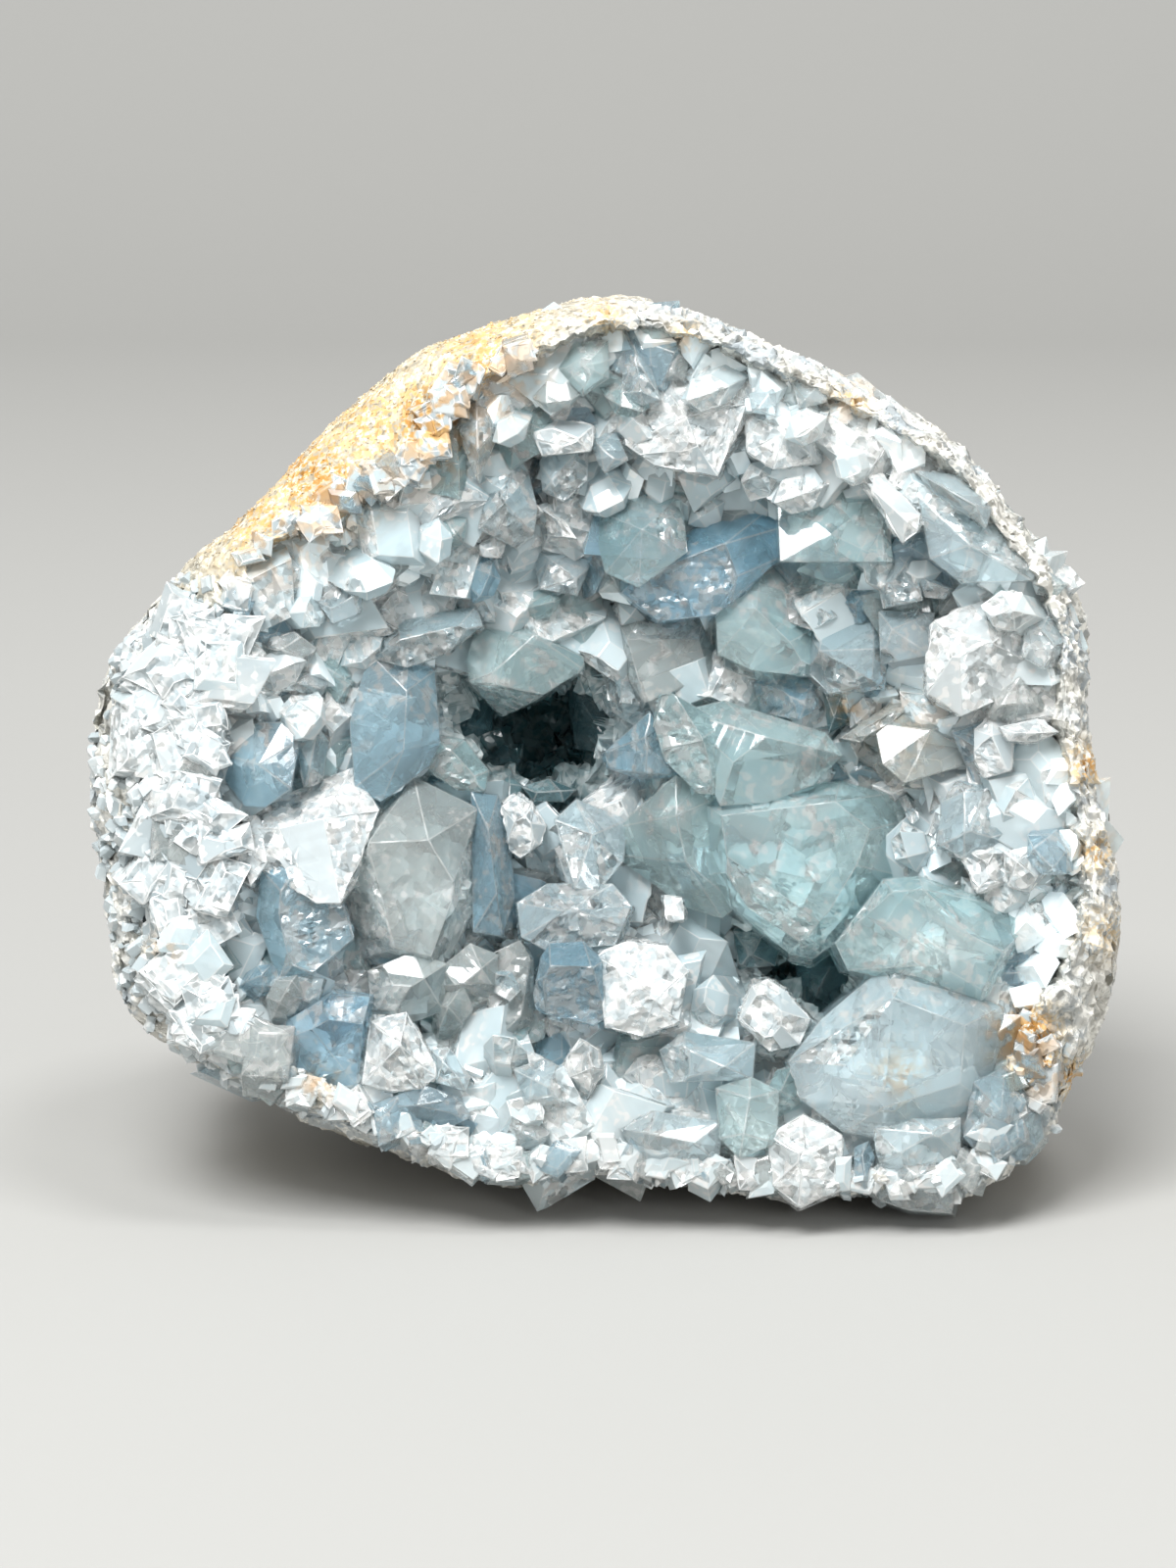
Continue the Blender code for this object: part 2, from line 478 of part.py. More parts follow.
def shell_rings():
    """Rings of the wall from the back over the rim and down into the hollow, with lumps and ledges."""
    angles = [360.0 * k / AROUND for k in range(AROUND)]
    rings = []
    for step in range(1, BACK_RINGS + 1):
        rise = 90.0 * (1 - step / BACK_RINGS)
        ring = []
        for angle in angles:
            point = back_point(angle, rise)
            outward = (point - place(*HUB, GIRTH_DEPTH)).normalized()
            calm = min(1.0, 0.15 + rise / 40.0)
            ring.append(point + outward * outside_relief(point) * calm)
        rings.append(ring)
    for step in range(1, BAND_RINGS + 1):
        rise = 90.0 * (1 - step / BAND_RINGS)
        ring = []
        for angle in angles:
            point = band_point(angle, rise)
            backward = (place(*HUB, 10.0) - place(*HUB, 0.0)).normalized()
            ring.append(point + backward * ledge_relief(point, angle))
        rings.append(ring)
    for step in range(1, HOLLOW_RINGS + 1):
        rise = 90.0 * step / (HOLLOW_RINGS + 1)
        rings.append([hollow_point(angle, rise) for angle in angles])
    return rings


def fewer_facets(body, triangles):
    """Collapse a body's least telling edges until it has so many triangles."""
    plain = body.modifiers.new("broken_facets", "DECIMATE")
    plain.ratio = min(1.0, triangles / len(body.data.polygons))
    settle(body)


def make_shell():
    """The wall: a lumpy open bowl with a rough broken rim."""
    bottom = GEODE_DEPTH - WALL_BACK
    shell = loft("matrix_shell", shell_rings(), place(*HUB, GEODE_DEPTH), place(*HUB, bottom))
    fewer_facets(shell, WALL_TRIANGLES)
    return shell


def swollen_copy(body, name, gap):
    """Copy of a body with every face moved outwards by a gap."""
    mesh = bmesh.new()
    mesh.from_mesh(body.data)
    mesh.normal_update()
    for vert in mesh.verts:
        vert.co += vert.normal * gap * vert.calc_shell_factor()
    return as_guide(new_object(name, mesh))


def base_cutter():
    """Block below the plane that the geode rests on."""
    mesh = bmesh.new()
    bmesh.ops.create_cube(mesh, size=1.0)
    span = MM * GEODE_WIDTH * 2
    height = MM * CUTTER_HEIGHT
    for vert in mesh.verts:
        vert.co = Vector((vert.co.x * span, vert.co.y * span, (vert.co.z - 0.5) * height))
    return as_guide(new_object("base_cutter", mesh))


def growing_depth(x, y):
    """Depth of the surface that crystals grow from, at a place on the picture."""
    across, up = x - HUB[0], HUB[1] - y
    angle = math.degrees(math.atan2(up, across)) % 360.0
    crest = smooth_stop(CREST_REACH, angle) * smooth_stop(OUTLINE_STOPS, angle)
    share = min(1.0, math.hypot(across, up) / crest)
    return smooth_stop(CREST_DEPTH, angle) + LINING_SET_BACK + LINING_BOWL * (1 - share ** 2)


def make_lining():
    """Massive layer that the crystals grow from, reaching into the wall, where it is cut back later."""
    angles = [360.0 * k / LINING_AROUND for k in range(LINING_AROUND)]
    rings = []
    for step in range(1, LINING_RINGS + 1):
        share = step / LINING_RINGS
        ring = []
        for angle in angles:
            reach = smooth_stop(OUTLINE_STOPS, angle) * smooth_stop(CREST_REACH, angle) * share * 0.99
            turn = math.radians(angle)
            x, y = HUB[0] + reach * math.cos(turn), HUB[1] - reach * math.sin(turn)
            point = place(x, y, growing_depth(x, y))
            uneven = lumps(point, KNOB_SIZE, 2 * KNOB_HEIGHT) * (share < 1)
            ring.append(point + Vector((0.0, uneven, 0.0)))
        rings.append(ring)
    for step in range(1, HOLLOW_RINGS + 1):
        rise = 90.0 * step / (HOLLOW_RINGS + 1)
        rings.append([(back_point(a, rise) + hollow_point(a, rise)) / 2 for a in angles])
    rear = place(*HUB, GEODE_DEPTH - WALL_BACK / 2)
    return loft("crystal_crust", rings, place(*HUB, growing_depth(*HUB)), rear)


def hull_object(name, points):
    """Flat-faced closed solid round some points."""
    mesh = bmesh.new()
    for point in points:
        mesh.verts.new(point)
    made = bmesh.ops.convex_hull(mesh, input=mesh.verts)
    loose = {item for key in ("geom_interior", "geom_unused") for item in made[key]}
    bmesh.ops.delete(mesh, geom=[v for v in loose if isinstance(v, bmesh.types.BMVert)], context="VERTS")
    bmesh.ops.dissolve_limit(mesh, angle_limit=math.radians(1.0), verts=mesh.verts, edges=mesh.edges)
    bmesh.ops.triangulate(mesh, faces=mesh.faces)
    bmesh.ops.recalc_face_normals(mesh, faces=mesh.faces)
    return new_object(name, mesh)


def make_pocket(name, mouth, bottom):
    """Cutter for a deep hollow, narrowing towards its bottom."""
    points = []
    middle_x = sum(x for x, _ in mouth) / len(mouth)
    middle_y = sum(y for _, y in mouth) / len(mouth)
    for depth, share in ((-5.0, 1.35), (bottom * 0.5, 1.0), (bottom, 0.5)):
        for x, y in mouth:
            points.append(place(middle_x + (x - middle_x) * share, middle_y + (y - middle_y) * share, depth))
    return as_guide(hull_object(name, points))


def root_direction(x, y):
    """Way from a crystal's tip to its root: backwards, and outwards the nearer it grows to the rim."""
    outward = 0.75 / smooth_stop(OUTLINE_STOPS, 0.0)
    tip = place(x, y, 0.0)
    root = place(x + (x - HUB[0]) * outward * 0.15, y + (y - HUB[1]) * outward * 0.15, 12.0)
    return (root - tip).normalized()


def chisel_tips(outline, middle_x, middle_y):
    """Ends of the ridge of a chisel-shaped crystal, along its longest way across."""
    far = max(outline, key=lambda spot: math.dist(spot, (middle_x, middle_y)))
    along = ((far[0] - middle_x) * CHISEL_LENGTH, (far[1] - middle_y) * CHISEL_LENGTH)
    rise = math.dist(far, (middle_x, middle_y)) * 2 * UNIT * CHISEL_RISE
    return (
        (middle_x + along[0], middle_y + along[1], rise),
        (middle_x - along[0], middle_y - along[1], rise * 0.9),
    )


def crystal_points(outline, depth, lean, tips):
    """Corners of one crystal: its outline, what stands out in front of it, and its buried root."""
    middle_x = sum(x for x, _ in outline) / len(outline)
    middle_y = sum(y for _, y in outline) / len(outline)

    def leaning(x, y, rise):
        return depth + UNIT * (lean[0] * (x - middle_x) + lean[1] * (middle_y - y)) - rise

    front = [place(x, y, leaning(x, y, 0.0)) for x, y in outline]
    middle = mean_point(front)
    reach = max(growing_depth(middle_x, middle_y) - depth, 2.0) + ROOT_BURY
    way = root_direction(middle_x, middle_y) * MM * reach
    root = [middle + (point - middle) * ROOT_FLARE + way for point in front]
    if not tips:
        tips = chisel_tips(outline, middle_x, middle_y)
    return front + root + [place(x, y, leaning(x, y, rise)) for x, y, rise in tips]


def inside(x, y, outline):
    """Whether a place on the picture lies inside an outline."""
    spot = Vector((x, y))
    first = Vector(outline[0])
    return any(
        intersect_point_tri_2d(spot, first, Vector(a), Vector(b)) for a, b in zip(outline[1:], outline[2:])
    )


def druse_places(chance):
    """Places between the large crystals and outside the deep hollows, on a shaken grid."""
    steps = int(PICTURE_WIDTH / DRUSE_SPACING) + 2
    for row in range(-steps, steps):
        for column in range(-steps, steps):
            x = HUB[0] + (column + 0.5 * (row % 2) + chance.uniform(-0.3, 0.3)) * DRUSE_SPACING
            y = HUB[1] + (row + chance.uniform(-0.3, 0.3)) * DRUSE_SPACING * 0.87
            angle = math.degrees(math.atan2(HUB[1] - y, x - HUB[0])) % 360.0
            rim = smooth_stop(OUTLINE_STOPS, angle) * smooth_stop(CREST_REACH, angle)
            if math.hypot(x - HUB[0], y - HUB[1]) > rim * DRUSE_REACH:
                continue
            if any(inside(x, y, mouth) for _, mouth, _ in POCKETS):
                continue
            if any(inside(x, y, crystal[0]) for crystal in CRYSTALS.values()):
                continue
            yield x, y


def druse_points(x, y, chance):
    """Corners of one small crystal: a six-sided prism with a chisel end."""
    base = growing_depth(x, y)
    rise = chance.uniform(*DRUSE_RISE)
    width = chance.uniform(*DRUSE_WIDTH) / UNIT / 2
    inward = DRUSE_INWARD / smooth_stop(OUTLINE_STOPS, 0.0)
    slope = (
        ((HUB[0] - x) * inward + chance.uniform(-0.35, 0.35)) * rise / UNIT,
        ((y - HUB[1]) * inward + chance.uniform(-0.35, 0.35)) * rise / UNIT,
    )
    turn = chance.uniform(0.0, math.pi)
    points = []
    for depth, share, size in ((base + ROOT_BURY, -0.4, 1.1), (base - rise, 1.0, 0.9)):
        for k in range(6):
            way = turn + k * math.pi / 3
            side = width * size * (0.75 if k % 3 else 1.0)
            points.append(
                place(
                    x + slope[0] * share + side * math.cos(way),
                    y - slope[1] * share - side * math.sin(way),
                    depth,
                )
            )
    for side in (-0.45, 0.45):
        points.append(
            place(
                x + slope[0] * 1.3 + side * width * math.cos(turn),
                y - slope[1] * 1.3 - side * width * math.sin(turn),
                base - rise * 1.3,
            )
        )
    return points


def crystal_solids():
    """Every crystal as a closed flat-faced object."""
    solids = []
    for name, (outline, depth, lean, tips) in CRYSTALS.items():
        solids.append(hull_object(name, crystal_points(outline, depth, lean, tips)))
    chance = random.Random(DRUSE_SEED)
    for number, (x, y) in enumerate(list(druse_places(chance))):
        solids.append(hull_object(f"druse_{number}", druse_points(x, y, chance)))
    return solids


def joined(name, pieces):
    """One object that holds the meshes of several, which are removed."""
    mesh = bmesh.new()
    for piece in pieces:
        mesh.from_mesh(piece.data)
        bpy.data.objects.remove(piece)
    return as_guide(new_object(name, mesh))


def boolean(body, tool, operation, itself=False):
    """Add an exact Boolean to a body."""
    step = body.modifiers.new(tool.name, "BOOLEAN")
    step.operation = operation
    step.solver = "EXACT"
    step.object = tool
    step.use_self = itself


def settle(body):
    """Apply a body's modifiers and keep only its largest connected piece, cleaned of slivers."""
    graph = bpy.context.evaluated_depsgraph_get()
    mesh = bmesh.new()
    mesh.from_object(body, graph)
    body.modifiers.clear()
    bmesh.ops.remove_doubles(mesh, verts=mesh.verts, dist=MM * 0.01)
    bmesh.ops.dissolve_degenerate(mesh, edges=mesh.edges, dist=MM * 0.01)
    islands = []
    unseen = set(mesh.verts)
    while unseen:
        island = {unseen.pop()}
        edge = list(island)
        while edge:
            near = {other.other_vert(vert) for vert in edge for other in vert.link_edges}
            edge = list(near & unseen)
            unseen.difference_update(edge)
            island.update(edge)
        islands.append(island)
    largest = max(islands, key=len)
    spare = [vert for island in islands if island is not largest for vert in island]
    bmesh.ops.delete(mesh, geom=spare, context="VERTS")
    bmesh.ops.triangulate(mesh, faces=mesh.faces)
    mesh.to_mesh(body.data)
    mesh.free()


def give_material(body, name, colour, roughness):
    """One Principled material for a body."""
    material = bpy.data.materials.new(name)
    material.use_nodes = True
    shader = material.node_tree.nodes["Principled BSDF"]
    shader.inputs["Base Color"].default_value = colour
    shader.inputs["Roughness"].default_value = roughness
    shader.inputs["Metallic"].default_value = 0.0
    body.data.materials.clear()
    body.data.materials.append(material)


def main():
    for thing in list(bpy.data.objects):
        bpy.data.objects.remove(thing)

    shell = make_shell()
    clearance = swollen_copy(shell, "wall_clearance", MM * NODE_GAP)
    boolean(shell, base_cutter(), "DIFFERENCE")
    settle(shell)

    crust = make_lining()
    for name, mouth, bottom in POCKETS:
        boolean(crust, make_pocket(name, mouth, bottom), "DIFFERENCE")
    boolean(crust, joined("crystals", crystal_solids()), "UNION", itself=True)
    boolean(crust, clearance, "DIFFERENCE")
    settle(crust)
    fewer_facets(crust, CRUST_TRIANGLES)

    give_material(shell, "granular_wall", WALL_COLOUR, 0.85)
    give_material(crust, "celestite", CRYSTAL_COLOUR, 0.25)


main()
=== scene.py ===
"""Looks of the celestite geode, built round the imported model.

Places on the open side are given in picture units, as a viewer sees it square on: x runs right, y runs down,
and depth is how far a point lies behind the broken rim, in millimetres. place() turns them into metres.
"""

import itertools
import json
import math
import random

import bmesh
import bpy
import numpy as np
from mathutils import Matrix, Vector, noise
from mathutils.geometry import intersect_point_tri_2d

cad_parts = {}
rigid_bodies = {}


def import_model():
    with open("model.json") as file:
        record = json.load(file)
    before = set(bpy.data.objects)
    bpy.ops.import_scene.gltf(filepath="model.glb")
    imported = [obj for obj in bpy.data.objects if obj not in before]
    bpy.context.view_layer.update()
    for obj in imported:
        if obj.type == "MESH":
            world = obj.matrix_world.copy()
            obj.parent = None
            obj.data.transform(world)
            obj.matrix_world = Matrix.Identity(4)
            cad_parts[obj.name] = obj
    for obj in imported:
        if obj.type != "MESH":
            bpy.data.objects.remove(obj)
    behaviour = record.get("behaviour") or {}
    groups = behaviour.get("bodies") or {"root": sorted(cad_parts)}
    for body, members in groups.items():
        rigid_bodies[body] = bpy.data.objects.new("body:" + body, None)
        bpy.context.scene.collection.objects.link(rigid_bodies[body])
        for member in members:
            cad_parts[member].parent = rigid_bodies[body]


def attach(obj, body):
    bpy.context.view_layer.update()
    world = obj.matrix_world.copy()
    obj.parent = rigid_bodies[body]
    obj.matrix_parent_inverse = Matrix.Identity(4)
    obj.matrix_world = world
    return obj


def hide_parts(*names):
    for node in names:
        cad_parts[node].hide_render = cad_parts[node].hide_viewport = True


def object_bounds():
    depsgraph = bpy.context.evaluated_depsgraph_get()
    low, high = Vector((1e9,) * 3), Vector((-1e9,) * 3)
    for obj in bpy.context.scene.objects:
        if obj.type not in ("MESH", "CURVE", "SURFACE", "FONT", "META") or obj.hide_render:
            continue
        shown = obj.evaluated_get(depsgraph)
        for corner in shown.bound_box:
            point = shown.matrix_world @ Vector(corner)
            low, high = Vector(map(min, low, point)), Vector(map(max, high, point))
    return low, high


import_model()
CAD_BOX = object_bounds()

# Driving dimensions of the solids, in millimetres and degrees
MM = 0.001
GEODE_WIDTH = 150.0
GEODE_DEPTH = 85.0
GIRTH_DEPTH = 16.0
WALL_BACK = 16.0
FACE_TILT = 12.0
PICTURE_WIDTH = 1040.0
PICTURE_CENTRE = (600.0, 800.0)
PICTURE_HEIGHT = 1600.0
VIEW_DISTANCE = 600.0
UNIT = GEODE_WIDTH / PICTURE_WIDTH / (1 + GIRTH_DEPTH / VIEW_DISTANCE)
SHIFT = (-2.6, -41.8, 66.5)

# The geode's outline, clockwise from the top
HUB = (617.0, 775.0)
OUTLINE = (
    (619, 305), (715, 324), (819, 369), (911, 417), (985, 465), (1037, 533), (1085, 591), (1104, 650),
    (1106, 738), (1126, 826), (1137, 953), (1115, 1044), (1090, 1106), (1046, 1178), (977, 1222),
    (872, 1218), (751, 1216), (665, 1203), (606, 1193), (522, 1206), (400, 1168), (297, 1130),
    (208, 1088), (132, 1025), (114, 929), (97, 774), (110, 687), (160, 613), (256, 520), (352, 424),
    (430, 361), (519, 326),
)

# Stops round the rim, in degrees from the right, anticlockwise: reach as a share of the outline, and depth
CREST_REACH = (
    (0, 0.955), (45, 0.965), (80, 0.955), (97, 0.93), (111, 0.88), (122, 0.80), (137, 0.85), (150, 0.92),
    (160, 0.80), (180, 0.775), (200, 0.78), (214, 0.89), (235, 0.94), (270, 0.955), (312, 0.94),
    (326, 0.89), (340, 0.94),
)
CREST_DEPTH = ((0, 4.0), (90, 3.0), (135, 5.0), (180, 4.5), (225, 6.0), (270, 8.0), (315, 7.0))

# Fullness of the back, the underside and the hollow: smaller is boxier
BACK_FULLNESS = 0.68
UNDERSIDE_FULLNESS = 0.36
UNDERSIDE_BREADTH = 0.8
HOLLOW_FULLNESS = 0.6

# The crystals' growing surface
LINING_SET_BACK = 4.5
LINING_BOWL = 21.0
CREST_INSET = 0.025
LINING_INSET = 0.028

# Lumps and dents of the outside, and ledges of the broken rim
LUMP_SIZE = 30.0
LUMP_HEIGHT = 6.0
KNOB_SIZE = 10.0
KNOB_HEIGHT = 4.0
PIT_SIZE = 14.0
PIT_DEPTH = 7.0
PIT_START = 0.2
LEDGE_SIZE = 13.0
LEDGE_STEPS = 3
LEDGE_HEIGHT = (1.2, 5.0)
WIDE_BAND = 0.22

# Druse between the large crystals, as in the solids
DRUSE_SEED = 11
DRUSE_SPACING = 57.0
DRUSE_WIDTH = (6.5, 9.5)
DRUSE_RISE = (5.0, 8.5)
DRUSE_REACH = 0.95
DRUSE_INWARD = 0.55
DRUSE_TINTS = {"frosted": 10, "white": 5, "blue": 3, "aqua": 2, "smoky": 2}
ROOT_BURY = 5.0
ROOT_FLARE = 1.12
ROOT_SPREAD = 0.1125
CHISEL_RISE = 0.22
CHISEL_LENGTH = 0.42

# Smaller crystals along the rim, on the broken wall and between the large ones: how many, and where
RIM_CRYSTALS = 150
RIM_REACH = (0.86, 0.955)
WALL_CRYSTALS = 130
WALL_ANGLES = (161.0, 222.0)
WALL_REACH = 0.925
RIND_ANGLES = (92.0, 158.0)
COLLAR_CRYSTALS = 260
COLLAR_REACH = (0.90, 1.05)
COLLAR_LIMIT = 0.92
BOTTOM_CRYSTALS = 150
BOTTOM_ANGLES = (215.0, 328.0)
BOTTOM_REACH = 0.97
FILLER_CRYSTALS = 1500
FILLER_FIELD = ((190.0, 1080.0), (330.0, 1190.0))
FILLER_REACH = 0.97
SMALL_BURY = 3.5
SMALL_INWARD = 0.0010
JITTER = 0.4

# Deep hollows: mouth outline and the depth of the bottom
POCKETS = (
    ("main_hollow", ((450, 700), (500, 676), (600, 680), (640, 730), (620, 800), (560, 818), (470, 800)), 56),
    ("lower_hollow", ((742, 940), (800, 915), (890, 950), (895, 1000), (850, 1046), (760, 1010)), 44),
)

# Mesh steps of the wall and of the lining, and how a crystal grows past its outline
AROUND = 520
BACK_RINGS = 70
BAND_RINGS = 22
HOLLOW_RINGS = 12
LINING_AROUND = 72
LINING_RINGS = 14
LINING_FACET = 1.55
CRYSTAL_GROWTH = 1.08
BURIED_DEPTH = 2.0
EDGE_EASE = 1.2

# Facets of a crystal: what each kind is called in the mesh, and the longest triangle side it may have
CLEAN, BROKEN, EDGE, BURIED = 0, 1, 2, 3
FACET_SIDE = {CLEAN: 5.0, BROKEN: 1.6, EDGE: 4.0, BURIED: 12.0}
LARGE_FACET_SIDE = {CLEAN: 4.0, BROKEN: 1.2, EDGE: 2.5, BURIED: 12.0}

# Stage, in metres: the floor, the lights (name, place, size and watts) and the air
FLOOR_FRONT = -3.0
FLOOR_BEND = 1.2
FLOOR_CURVE = 0.8
FLOOR_HEIGHT = 4.0
FLOOR_SIDE = 4.0
FLOOR_GREY = (0.33, 0.33, 0.32, 1.0)
LIT_PLACE = (0.0, 0.0, 0.07)
LIGHTS = (
    ("key", (-0.60, -1.30, 2.20), 1.20, 106.0),
    ("top_window", (0.60, -0.50, 2.30), 0.60, 22.0),
    ("left_window", (-2.10, -1.90, 0.90), 0.60, 6.0),
    ("right_window", (1.30, -2.30, 0.90), 0.60, 13.0),
)
AIR_COLOUR = (0.93, 0.92, 0.89, 1.0)
AIR_STRENGTH = 0.72

# Facets that meet more flatly than this, in degrees, are one facet, and edges flatter than the next are sharp
FLATNESS = 10.0
BLUNT_EDGE = 20.0

# Broken relief: size of the facets in millimetres, seed, tilt and step
CRYSTAL_RELIEF = ((4.6, 0, 0.26, 0.03), (2.0, 7, 0.30, 0.04))
CRYSTAL_STEPS = (4.0, 3, 0.8, 5)
WALL_RELIEF = ((4.6, 3, 0.5, 0.10), (2.1, 4, 0.7, 0.16))
WALL_FINE_RELIEF = (1.1, 5, 0.8, 0.16)
WALL_FINE_SHARE = 0.7
LINING_RELIEF = ((6.5, 21, 1.0, 0.25), (3.2, 22, 0.9, 0.2))

